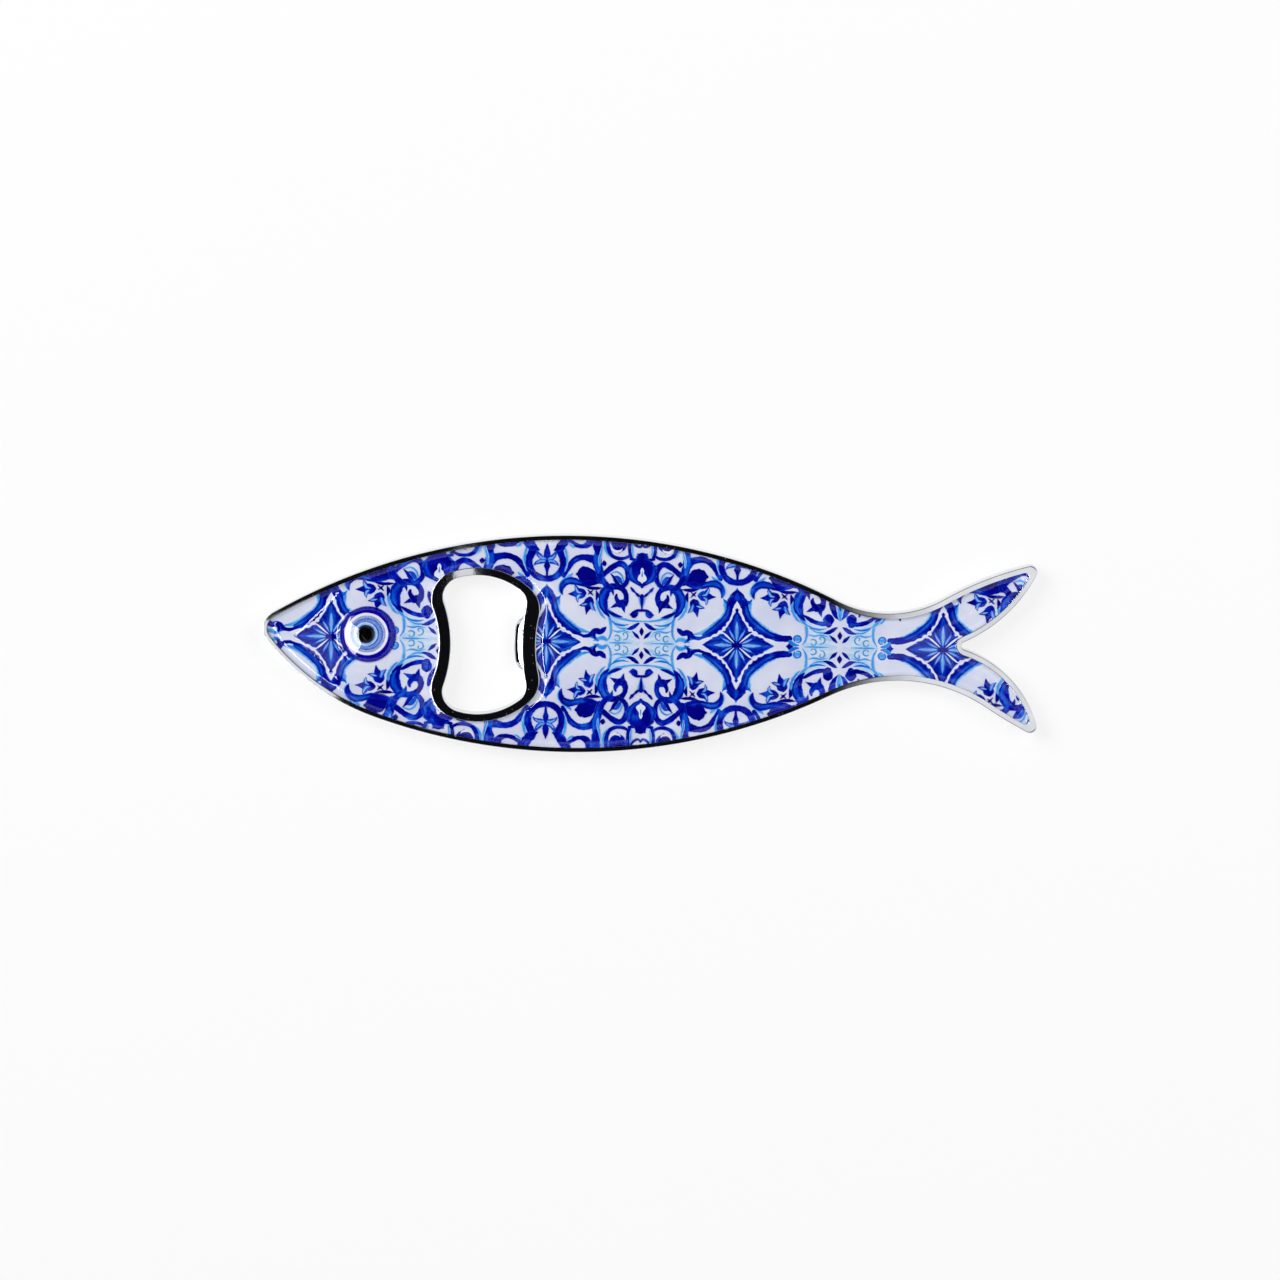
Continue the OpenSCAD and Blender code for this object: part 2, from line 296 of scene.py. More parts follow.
# %% [markdown]
# Finishes
#
# Colours are written as sRGB hex values, as a colour picker shows them, and turned to linear light once.
# One function adds any node with its settings and links, so a material reads as a short list. Patterns read
# Object coordinates, which are metres here, so a noise of scale 1 / size has details of about that size.

# %% Colour and node helpers
def rgb(code):
    """A hex colour such as #0a1fc0 as linear red, green, blue and alpha 1."""
    part = np.array([int(code[i:i + 2], 16) for i in (1, 3, 5)]) / 255
    return (*np.where(part <= 0.04045, part / 12.92, ((part + 0.055) / 1.055) ** 2.4), 1.0)


def add(tree, kind, links=None, stops=(), **settings):
    """Adds a node. Settings are its properties or, by name, its sockets; links give a socket, by name or
    number, another node's output or a value; stops are the (place, hex colour) of a colour ramp."""
    node = tree.nodes.new(kind)
    for key, value in settings.items():
        if hasattr(node, key):
            setattr(node, key, value)
        else:
            node.inputs[key.replace("_", " ")].default_value = value
    for key, source in (links or {}).items():
        if isinstance(source, bpy.types.NodeSocket):
            tree.links.new(source, node.inputs[key])
        else:
            node.inputs[key].default_value = source
    for i, (place, code) in enumerate(stops):
        element = node.color_ramp.elements[i] if i < 2 else node.color_ramp.elements.new(place)
        element.position, element.color = place, rgb(code)
    return node


def new_material(name):
    """A material with an empty node tree, and that tree."""
    material = bpy.data.materials.new(name)
    material.use_nodes = True
    material.node_tree.nodes.clear()
    return material, material.node_tree


print("cobalt blue in linear light:", np.round(rgb("#0518ac"), 3))

# %% [markdown]
# Bright chrome over a polished casting is a mirror with a faint blue-grey tint. A plain mirror shader would
# look computed: polishing leaves a slow orange-peel wave a few millimetres long and a scatter of dull
# specks, and these break up the reflections a little.

# %% Chrome plating
PEEL, GRIT, SPECK = 6 * MM, 0.5 * MM, 0.8 * MM
MIRROR_ROUGH, SPECK_ROUGH = 0.018, 0.5


def chrome_plating():
    """Chrome on a polished casting: sharp reflections that waver slowly, with rare dull specks. Real
    polishing grit is much finer than GRIT; it is drawn as coarse as it needs to be to show."""
    material, tree = new_material("polished chrome plating")
    place = add(tree, "ShaderNodeTexCoord").outputs["Object"]
    wave = add(tree, "ShaderNodeTexNoise", {"Vector": place}, Scale=1 / PEEL, Detail=2.0)
    grit = add(tree, "ShaderNodeTexNoise", {"Vector": place}, Scale=1 / GRIT, Detail=3.0)
    specks = add(tree, "ShaderNodeTexVoronoi", {"Vector": place}, Scale=1 / SPECK)
    rough = add(tree, "ShaderNodeMapRange", {"Value": specks.outputs["Distance"]},
                From_Min=0.03, From_Max=0.08, To_Min=SPECK_ROUGH, To_Max=MIRROR_ROUGH)
    peel = add(tree, "ShaderNodeBump", {"Height": wave.outputs["Fac"]}, Strength=0.008, Distance=0.4 * MM)
    pits = add(tree, "ShaderNodeBump", {"Height": grit.outputs["Fac"], "Normal": peel.outputs["Normal"]},
               Strength=0.003, Distance=0.05 * MM)
    tint = add(tree, "ShaderNodeValToRGB", {"Fac": wave.outputs["Fac"]}, [(0.3, "#cfd2d8"), (0.7, "#dfe1e6")])
    links = {"Base Color": tint.outputs["Color"], "Roughness": rough.outputs["Result"],
             "Normal": pits.outputs["Normal"]}
    surface = add(tree, "ShaderNodeBsdfPrincipled", links, Metallic=1.0)
    add(tree, "ShaderNodeOutputMaterial", {"Surface": surface.outputs["BSDF"]})
    return material


chrome = chrome_plating()
print("finish:", chrome.name)

# %% [markdown]
# The casting
#
# A flat rim with narrow rounded edges stands round the recess, and a broader one round the opening. Bevels
# on a filled outline could make them, but bevels pinch in the fork. So each rim is a profile of rows that
# is carried along the arcs. It starts at the foot of the recess wall, goes over the rim and down the
# outside to the rounded edge of the back. Towards the face it follows the print's edge, whose tips are
# blunter, so each row also mixes the two outlines.

# %% Profiles of the rims
BODY_T, RECESS_Z, WALL_Z = 4.2, 3.0, 3.6
RIM_INNER, RIM_LEVEL, RIM_OUTER = (0.02, 0.02), (0.82, 0.2), (0.13, 0.4)
OPENING_INNER, OPENING_LEVEL, OPENING_OUTER = (0.05, 0.1), (0.91, 0.09), (0.05, 0.25)
BACK_ROUND, BACK_RISE, OPENING_FLARE, FLARE_RISE = 0.8, 0.9, 0.6, 0.5
QUARTER = [(math.cos(a), math.sin(a)) for a in np.linspace(0, math.pi / 2, 9)]


def rim_rows(inner, level, outer):
    """Rows (mix, inset, height) up the recess wall and over a rim. Its edges are quarter ellipses of a share
    of the width and a drop; two rows keep the top level between them."""
    lip = [(1.0, 0.0, RECESS_Z), (1.0, 0.0, WALL_Z)]
    rise = [(1 - inner[0] * (1 - c), 0.0, BODY_T - inner[1] * (1 - s)) for c, s in QUARTER]
    top = [(share, 0.0, BODY_T) for share in level]
    drop = [(outer[0] * (1 - s), 0.0, BODY_T - outer[1] * (1 - c)) for c, s in QUARTER]
    return lip + rise + top + drop


def foot_rows(inset, rise):
    """Rows of a rounded edge at the back: a quarter ellipse of an inset and a rise."""
    return [(0.0, inset * (1 - c), rise * (1 - s)) for c, s in QUARTER]


def carried(profile, inner_edge, outer_edge, width):
    """The profile along the outline: each row mixes the two edges at its inset, and lies at its height."""
    rows = []
    for mix, inset, z in profile:
        depth = inset + mix * width
        rows.append(lift(mix * inner_edge.at(depth) + (1 - mix) * outer_edge.at(depth), z))
    return np.stack(rows)


# rows of the opening's wall from the rim to the back, close together where the tooth leaves it
wall_parts = [(WALL_Z, 2.4, 5), (2.24, 1.72, 27), (1.6, 0.56, 14)]
wall_rows = [(0.0, 0.0, z) for high, low, count in wall_parts for z in np.linspace(high, low, count)]
rim_profile = rim_rows(RIM_INNER, RIM_LEVEL, RIM_OUTER) + foot_rows(BACK_ROUND, BACK_RISE)
opening_profile = rim_rows(OPENING_INNER, OPENING_LEVEL, OPENING_OUTER) + wall_rows
opening_profile += foot_rows(-OPENING_FLARE, FLARE_RISE)
outside = carried(rim_profile, face, metal, rim_w)
inside = carried(opening_profile, hole_rim, hole, 0.0)
print("rim rows:", len(outside), "opening rows:", len(inside))

# %% [markdown]
# The prising tooth stands out of the opening's rear wall: the cap's edge goes over it. It could be a block
# joined to the wall, but a casting has no seam there, so the wall's own rows are pushed forwards. Its top
# leaves the wall gently, bends steeper and runs on evenly to a sharp lip, and its underside is rounded.

# %% Prising tooth
TOOTH_REACH, TOOTH_BEND, TOOTH_HALF, TOOTH_TOP, TOOTH_FOOT = 1.35, 0.8, 5.0, 2.2, 0.5
TOOTH_SLOPES, TOOTH_ARCH, TOOTH_UNDER = (12.0, 25.5), 6, 0.35


def tooth_reach(wall):
    """How far the tooth stands out at the wall's points. Its top's slope grows evenly over TOOTH_BEND, so the
    fall is a parabola there and a line beyond; an arch across and a quarter ellipse below scale it."""
    arch = np.clip(1 - np.abs((wall[..., 1] - OPENING_Y) / TOOTH_HALF) ** TOOTH_ARCH, 0, 1)
    start, end = np.tan(np.radians(TOOTH_SLOPES))
    bend = (end - start) / TOOTH_BEND
    bent = TOOTH_BEND * (start + end) / 2
    fall = np.clip(TOOTH_TOP - wall[..., 2], 0, None)
    curved = (np.sqrt(start ** 2 + 2 * bend * fall) - start) / bend
    ledge = np.where(fall < bent, curved, TOOTH_BEND + (fall - bent) / end)
    below = np.clip((wall[..., 2] - TOOTH_FOOT) / TOOTH_UNDER, 0, 1)
    return arch * np.minimum(ledge, TOOTH_REACH) * np.sqrt(1 - (1 - below) ** 2)


rear = inside[..., 0] > OPENING_X - MIDDLE_X
push = np.where(rear, tooth_reach(inside), 0)
inside[..., 0] -= push
print("tooth stands out by:", round(float(push.max()), 2))

# %% [markdown]
# The body is the two carried profiles, the recess's floor, the back, and the walls and floor of the
# magnet's pocket. All of them share their edges, so they merge into one closed shell.

# %% Body
POCKET_Z, MAGNET_L, MAGNET_W, MAGNET_X, MAGNET_GAP = 1.5, 34.0, 12.0, 20.0, 0.2
BODY_SHARP = math.radians(40)
pocket_half = np.array([MAGNET_L / 2 + MAGNET_GAP, MAGNET_W / 2 + MAGNET_GAP])
pocket = np.array([[-1, -1], [1, -1], [1, 1], [-1, 1]]) * pocket_half + [MAGNET_X - MIDDLE_X, 0]
back_loops = [outside[-1][:, :2], inside[-1][:, :2], pocket]
floor_loops = [outside[0][:, :2], inside[0][:, :2]]
body = make_piece("chrome_body", [
    (outside.reshape(-1, 3), grid_faces(*outside.shape[:2])[:, ::-1]),
    (inside.reshape(-1, 3), grid_faces(*inside.shape[:2])),
    (lift(np.concatenate(back_loops), 0.0), flat_fill(back_loops)),
    (lift(np.concatenate(floor_loops), RECESS_Z), flat_fill(floor_loops)),
    upright(pocket, 0.0, POCKET_Z),
    (lift(pocket, POCKET_Z), [[0, 1, 2, 3]]),
], chrome)
closed_shell(body)
body.data.set_sharp_from_angle(angle=BODY_SHARP)
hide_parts("body")

# %% [markdown]
# The printed film
#
# The film is white with a breath of lavender. It lies in the recess, from rim to rim. The ornament on it
# follows further down, so the film itself is a thin closed sheet in the shape of the recess.

# %% Film
PRINT_Z, PRINT_T, FIT = 3.1, 0.2, 0.01
FILM_TOP = PRINT_Z + PRINT_T
MOTTLE = 5 * MM


def film_white():
    """White printed film: matt under the resin, with a little lavender and a print's faint mottling."""
    material, tree = new_material("white printed film")
    place = add(tree, "ShaderNodeTexCoord").outputs["Object"]
    mottle = add(tree, "ShaderNodeTexNoise", {"Vector": place}, Scale=1 / MOTTLE, Detail=4.0)
    stops = [(0.3, "#d4d8ee"), (0.7, "#e5e6f4")]
    ground = add(tree, "ShaderNodeValToRGB", {"Fac": mottle.outputs["Fac"]}, stops)
    surface = add(tree, "ShaderNodeBsdfPrincipled", {"Base Color": ground.outputs["Color"]}, Roughness=0.6,
                  Specular_IOR_Level=0.0)
    add(tree, "ShaderNodeOutputMaterial", {"Surface": surface.outputs["BSDF"]})
    return material


film_loops = [face.at(rim_w + FIT), hole_rim.at(-FIT)]
film_flat = np.concatenate(film_loops)
film_parts = [(lift(film_flat, z), flat_fill(film_loops)) for z in (FILM_TOP, PRINT_Z)]
film_parts += [upright(loop, PRINT_Z, FILM_TOP) for loop in film_loops]
film = make_piece("printed_film", film_parts, film_white(), smooth=False)
closed_shell(film)
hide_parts("printed_sheet")

# %% [markdown]
# The ornament
#
# A traditional tile ornament is painted on the film in blues: stars in curved frames, tulip buds, scrolls
# with leaves, arches with palmettes and pale lilies, mirrored about the fish's middle line and about every
# star. It could be one flat pattern in a material, but painted lines have a start, a swell and an end. So
# each brush stroke is a ribbon: a smooth curve through a few points, as wide as the brush was pressed there.
# Ribbons stay sharp at any distance.
#
# One quarter of a tile holds every stroke. In it, u runs from the star's line to the line between two
# stars, 18 mm away, and v runs up from the fish's middle line. A stroke is a colour, a kind of tile and a
# list of (u, v, half width). Two kinds of tile alternate, and a stroke without a kind belongs to both.
#
# Every tile has a star of four petals. A curved frame with a pointed crown runs round it, and a
# serrated white line parts the two. Light strokes on the petals are where the glaze was thin.

# %% Star and its frame
FRAME_RISE = [(.2, 8.5, .7), (.9, 8.1, .76), (1.3, 7.4, .7),
              (1.38, 6.6, .7), (1.55, 5.8, .74), (1.92, 4.9, .82)]


def dot(u, v, r):
    """A round dab: a straight stroke whose half width follows a circle of radius r."""
    t = np.linspace(-1, 1, 9) * np.pi / 2
    return [(u + r * math.sin(a), v, max(r * math.cos(a), 0.02)) for a in t]


STAR_STROKES = [
    # star frame with its pointed crown and spurs
    ("light", "", [(2.7, 8.5, .04), (2.35, 7.9, .3), (2.2, 7.2, .46), (2.05, 6.5, .5), (2.15, 5.8, .54),
                   (2.6, 5.0, .6), (3.4, 4.2, .64), (4.4, 3.4, .64), (5.6, 2.55, .58), (6.9, 2.05, .42),
                   (8.2, 1.8, .16)]),
    ("mid", "", [(1.2, 7.8, .4), (1.9, 7.8, .36), (2.35, 8.1, .16), (2.6, 8.45, .03)]),
    ("azure", "", [(0, 10.5, .04), (0, 10.0, .34), (0, 9.5, .9), (0, 9.0, 1.3), (0, 8.5, 1.5)]),
    ("cobalt", "", [(0, 10.1, .05), (0, 9.7, .68), (0, 9.3, 1.1), (0, 8.8, 1.45), (0, 8.3, 1.65),
                    (0, 7.8, 1.4)]),
    ("cobalt", "2", FRAME_RISE + [(2.6, 4.05, .92), (3.45, 3.28, .94), (4.55, 2.46, .88),
                                  (5.8, 1.84, .78), (7.2, 1.5, .66), (8.4, 1.4, .6), (9.2, 1.42, .55)]),
    ("cobalt", "1", FRAME_RISE + [(2.6, 4.05, .9), (3.4, 3.3, .86), (4.3, 2.5, .72), (5.35, 1.76, .56),
                                  (6.3, 1.25, .42), (7.2, 1.1, .34), (8.2, 1.25, .38)]),
    ("wash", "", [(1.5, 7.2, .1), (1.6, 6.6, .34), (1.8, 5.8, .38), (2.2, 5.05, .42), (2.9, 4.25, .46),
                  (3.75, 3.5, .46), (4.8, 2.7, .42), (6.0, 2.0, .3), (6.6, 1.75, .1)]),
    ("wash", "", [(0, 9.6, .1), (0, 9.2, .5), (0, 8.7, .7), (0, 8.2, .5), (0, 7.9, .1)]),
    ("white", "", [(0, 8.0, .05), (0, 7.6, .26), (0, 7.2, .5), (0, 6.8, .6), (0, 6.4, .66)]),
    # star petals
    ("cobalt", "", [(0, 6.75, .1), (0, 6.4, .34), (0, 6.1, .2), (0, 5.75, .45), (0, 5.2, .8),
                    (0, 4.6, 1.3), (0, 4.0, 1.65), (0, 3.3, 2.0), (0, 2.6, 2.2), (0, 1.8, 2.35),
                    (0, .9, 2.4), (0, .1, 2.4)]),
    ("cobalt", "", [(6.5, 0, .05), (5.8, 0, .48), (5.0, 0, .95), (4.3, 0, 1.35), (3.6, 0, 1.7),
                    (2.9, 0, 2.0), (2.2, 0, 2.2), (1.3, 0, 2.3), (.3, 0, 2.3)]),
    ("cobalt", "", [(1.5, 1.5, .9), (2.1, 2.05, .5), (2.4, 2.35, .26), (2.7, 2.65, .04)]),
    ("cobalt", "", [(.4, 3.4, .5), (.85, 4.1, .4), (1.05, 4.6, .2), (1.1, 5.0, .03)]),
    ("cobalt", "", [(3.3, .6, .5), (4.0, 1.05, .36), (4.5, 1.3, .18), (4.9, 1.35, .03)]),
    ("white", "", [(.62, 6.6, .2), (.68, 5.9, .22), (.95, 5.35, .15), (1.1, 4.85, .22), (1.35, 4.35, .13),
                   (1.75, 3.95, .24), (1.95, 3.4, .15), (2.45, 3.1, .24), (2.75, 2.6, .15),
                   (3.3, 2.4, .22), (3.7, 1.95, .13), (4.3, 1.75, .22), (4.9, 1.35, .14), (5.6, 1.1, .22),
                   (6.4, .78, .26), (7.1, .6, .12)]),
    ("white", "", [(.5, .45, .04), (1.2, 1.08, .13), (1.95, 1.75, .16), (2.7, 2.35, .06)]),
    ("wash", "", [(0, 5.7, .1), (0, 5.0, .5), (0, 4.2, .85), (0, 3.3, 1.1), (0, 2.3, 1.0), (0, 1.3, .7),
                  (0, .5, .2)]),
    ("wash", "", [(5.7, 0, .1), (5.0, 0, .5), (4.2, 0, .85), (3.3, 0, 1.1), (2.3, 0, 1.0), (1.3, 0, .7),
                  (.5, 0, .2)]),
    ("wash", "", [(1.75, 3.5, .05), (1.4, 2.9, .38), (1.1, 2.2, .4), (.7, 1.4, .1)]),
    ("wash", "", [(3.5, 1.75, .05), (2.9, 1.4, .38), (2.2, 1.1, .4), (1.4, .7, .1)]),
    ("gleam", "", [(.35, .9, .05), (.85, 1.8, .26), (1.4, 2.7, .06)]),
    ("gleam", "", [(.9, .35, .05), (1.8, .75, .24), (2.7, 1.2, .06)]),
    ("gleam", "", [(0, 4.3, .06), (0, 3.5, .3), (0, 2.6, .42), (0, 1.8, .36), (0, .8, .1)]),
    ("gleam", "", [(4.3, 0, .06), (3.5, 0, .3), (2.6, 0, .42), (1.8, 0, .36), (.8, 0, .1)]),
    ("navy", "", [(0, 0, .42), (.45, 0, .42), (.8, 0, .3), (1.0, 0, .1)]),
    # end of the frame: a bar with curls on one kind, a pair of waves on the other
    ("cobalt", "2", [(9.7, 0, .2), (9.45, 0, .9), (9.2, 0, .8), (8.9, 0, .3), (8.6, 0, .05)]),
    ("azure", "2", [(9.3, .9, .3), (9.8, .5, .34), (10.3, .3, .28), (10.9, .25, .1)]),
    ("light", "2", dot(10.6, 1.4, .55)),
    ("azure", "2", [(10.35, .85, .06), (10.85, .8, .13), (11.2, 1.15, .15), (11.15, 1.65, .16),
                    (10.75, 1.98, .17), (10.25, 1.9, .18), (9.98, 1.45, .17), (10.15, 1.0, .14)]),
    ("light", "1", [(11.5, .4, .3), (10.9, .8, .5), (10.2, .8, .5), (9.5, .5, .3), (8.8, .3, .06)]),
    ("azure", "1", [(9.9, .2, .1), (9.5, .55, .3), (9.0, .9, .3), (8.4, 1.0, .2)]),
    ("cobalt", "1", [(11.3, 2.9, .06), (10.9, 2.45, .42), (10.2, 1.95, .5), (9.5, 2.1, .55),
                     (8.9, 1.95, .5), (8.4, 1.45, .42), (7.8, 1.2, .3)]),
    ("cobalt", "1", [(9.2, 1.9, .3), (9.0, 1.3, .34), (9.2, .8, .2), (9.5, .5, .04)]),
]
print("strokes:", len(STAR_STROKES))

# %% [markdown]
# Pale lilies lie on the middle line between two stars, with a small dark flower where two tiles meet.

# %% Lily and flower
LILY_STROKES = [
    # lily
    ("pale", "", [(10.8, 6.1, .05), (12.2, 4.7, .6), (13.4, 3.3, 1.2), (15.0, 2.3, 1.5), (16.4, 1.6, 1.0),
                  (17.3, 1.2, .2)]),
    ("pale", "", [(11.4, 0, .2), (12.3, 0, 1.5), (13.5, 0, 1.8), (15.2, 0, 1.3), (17.2, 0, .4)]),
    ("light", "", [(10.8, 6.2, .12), (11.8, 4.7, .34), (12.2, 3.0, .34), (12.1, 1.4, .26),
                   (11.5, .3, .1)]),
    ("teal", "", [(12.9, 1.2, .1), (13.3, 1.4, .16), (13.85, 1.1, .17), (13.8, .5, .16), (13.3, .3, .14),
                  (12.95, .65, .12)]),
    ("teal", "", [(14.5, .5, .08), (15.2, .8, .15), (15.4, 1.5, .17), (14.9, 1.95, .16), (14.5, 1.6, .14),
                  (14.75, 1.25, .1)]),
    ("light", "", [(12.7, 3.4, .08), (14.0, 2.7, .2), (15.4, 2.6, .24), (16.2, 2.6, .12)]),
    ("light", "", [(12.4, 2.3, .05), (13.5, 2.0, .24), (14.7, 2.2, .2), (15.9, 1.9, .05)]),
    ("azure", "", [(11.9, 4.3, .05), (13.0, 3.5, .18), (14.3, 3.2, .2), (15.6, 3.4, .05)]),
    ("light", "", [(11.9, 0, .1), (13.0, 0, .26), (14.4, 0, .2), (16.2, 0, .06)]),
    # flower between two stars
    ("cobalt", "2", [(16.0, 4.2, .6), (16.0, 4.6, .85), (16.0, 5.2, .95), (16.0, 5.8, .6),
                     (16.0, 6.1, .1)]),
    ("cobalt", "", [(15.2, 2.5, .1), (16.2, 2.8, .38), (17.1, 3.4, .3), (17.6, 3.7, .05)]),
    ("cobalt", "", [(17.6, .8, .05), (17.0, 1.4, .32), (16.2, 2.2, .06)]),
    ("navy", "", [(18, 2.9, .05), (18, 2.45, .32), (18, 2.15, .45), (18, 1.85, .32), (18, 1.4, .05)]),
    ("cobalt", "2", [(17.9, 5.1, .2), (17.3, 5.9, .5), (16.8, 7.0, .55), (16.4, 8.1, .4),
                     (16.2, 8.7, .05)]),
    ("light", "2", [(18, 5.0, .2), (18, 6.0, .5), (18, 7.2, .6), (18, 8.4, .1)]),
    ("cobalt", "2", [(18, 6.6, .05), (18, 7.4, .22), (18, 8.6, .3), (18, 9.2, .05)]),
]
print("strokes:", len(LILY_STROKES))

# %% [markdown]
# A strong scroll curls round a leaf beside each lily, and two tulip buds fill the field by the star.

# %% Scroll and tulip buds
SCROLL_STROKES = [
    # scroll with its leaf
    ("light", "1", [(10.6, 7.4, .3), (11.6, 5.9, .5), (12.8, 4.9, .42), (14.4, 4.35, .3),
                    (16.2, 4.05, .22), (18, 4.0, .18)]),
    ("light", "2", [(10.4, 7.4, .3), (10.7, 6.1, .5), (11.3, 5.0, .5), (12.0, 4.1, .3),
                    (12.7, 3.6, .06)]),
    ("cobalt", "2", [(11.2, 6.0, .06), (12.3, 5.3, .32), (13.5, 4.6, .4), (15.0, 4.25, .42),
                     (15.9, 4.5, .45)]),
    ("cobalt", "1", [(11.0, 6.2, .04), (12.2, 5.4, .3), (13.4, 4.9, .3), (14.4, 4.7, .06)]),
    ("light", "", [(9.5, 8.0, .3), (9.7, 6.4, .35), (10.5, 5.0, .3), (11.2, 4.3, .05)]),
    ("cobalt", "", [(12.0, 4.7, .06), (11.4, 5.3, .38), (10.95, 6.1, .66), (10.65, 7.2, .88),
                    (10.75, 8.4, .95), (11.25, 9.5, .88), (12.2, 10.15, .66), (13.2, 10.2, .56),
                    (14.2, 9.85, .52), (14.85, 9.1, .48), (15.05, 8.2, .5), (14.8, 7.35, .6),
                    (14.5, 6.6, .46), (14.75, 5.5, .04)]),
    ("wash", "", [(10.6, 6.6, .1), (10.5, 7.4, .5), (10.6, 8.4, .6), (11.1, 9.4, .56), (11.9, 10.0, .4),
                  (12.8, 10.15, .1)]),
    ("cobalt", "", [(14.7, 7.3, .58), (13.9, 7.15, .66), (13.2, 6.9, .44), (12.1, 6.35, .04)]),
    ("cobalt", "", [(13.9, 7.0, .6), (13.35, 7.7, .46), (13.1, 8.3, .34), (13.2, 8.75, .2)]),
    ("cobalt", "", [(12.1, 9.9, .5), (12.45, 9.3, .28), (12.6, 8.6, .04)]),
    ("mid", "", [(10.3, 8.9, .06), (10.25, 7.8, .2), (10.5, 6.7, .22), (11.0, 5.8, .05)]),
    # tulip buds
    ("cobalt", "", [(7.5, 8.9, .1), (7.1, 8.9, .65), (6.4, 8.85, .95), (5.6, 8.8, .75), (4.8, 8.72, .35),
                    (4.0, 8.7, .04)]),
    ("cobalt", "", [(6.0, 9.2, .45), (5.55, 9.9, .35), (5.4, 10.5, .04)]),
    ("cobalt", "", [(6.0, 8.4, .4), (5.75, 7.8, .3), (5.9, 7.2, .04)]),
    ("gleam", "", [(6.6, 8.95, .05), (5.9, 9.1, .26), (5.5, 9.8, .22), (5.45, 10.2, .03)]),
    ("gleam", "", [(6.4, 8.6, .05), (5.9, 8.3, .26), (5.75, 7.6, .2)]),
    ("cobalt", "", [(8.3, 8.3, .1), (8.2, 7.9, .7), (8.0, 7.2, .95), (7.8, 6.4, .7), (7.6, 5.7, .32),
                    (7.5, 5.0, .04)]),
    ("cobalt", "", [(7.8, 7.2, .5), (6.9, 6.8, .36), (6.1, 6.65, .04)]),
    ("mid", "", [(8.4, 6.9, .4), (8.8, 6.2, .32), (9.3, 5.7, .04)]),
    ("gleam", "", [(8.3, 7.3, .05), (8.5, 6.6, .28), (8.7, 6.1, .24), (9.1, 5.8, .03)]),
    ("gleam", "", [(7.7, 7.0, .05), (7.1, 6.85, .24), (6.5, 6.75, .05)]),
    ("navy", "", [(7.2, 10.05, .04), (8.3, 9.85, .28), (9.6, 9.85, .28), (10.5, 9.95, .04)]),
    ("navy", "", [(9.3, 9.5, .04), (9.55, 8.6, .34), (9.3, 7.6, .04)]),
    ("navy", "", [(7.7, 9.6, .05), (8.2, 9.1, .2), (8.8, 8.5, .06)]),
    ("navy", "", [(8.8, 9.55, .05), (8.3, 9.1, .16), (7.8, 8.7, .05)]),
]
print("strokes:", len(SCROLL_STROKES))

# %% [markdown]
# Above the star, a wave carries a ball in a crescent, and an arch holds a palmette. The frieze beside
# it runs on under the fish's rim.

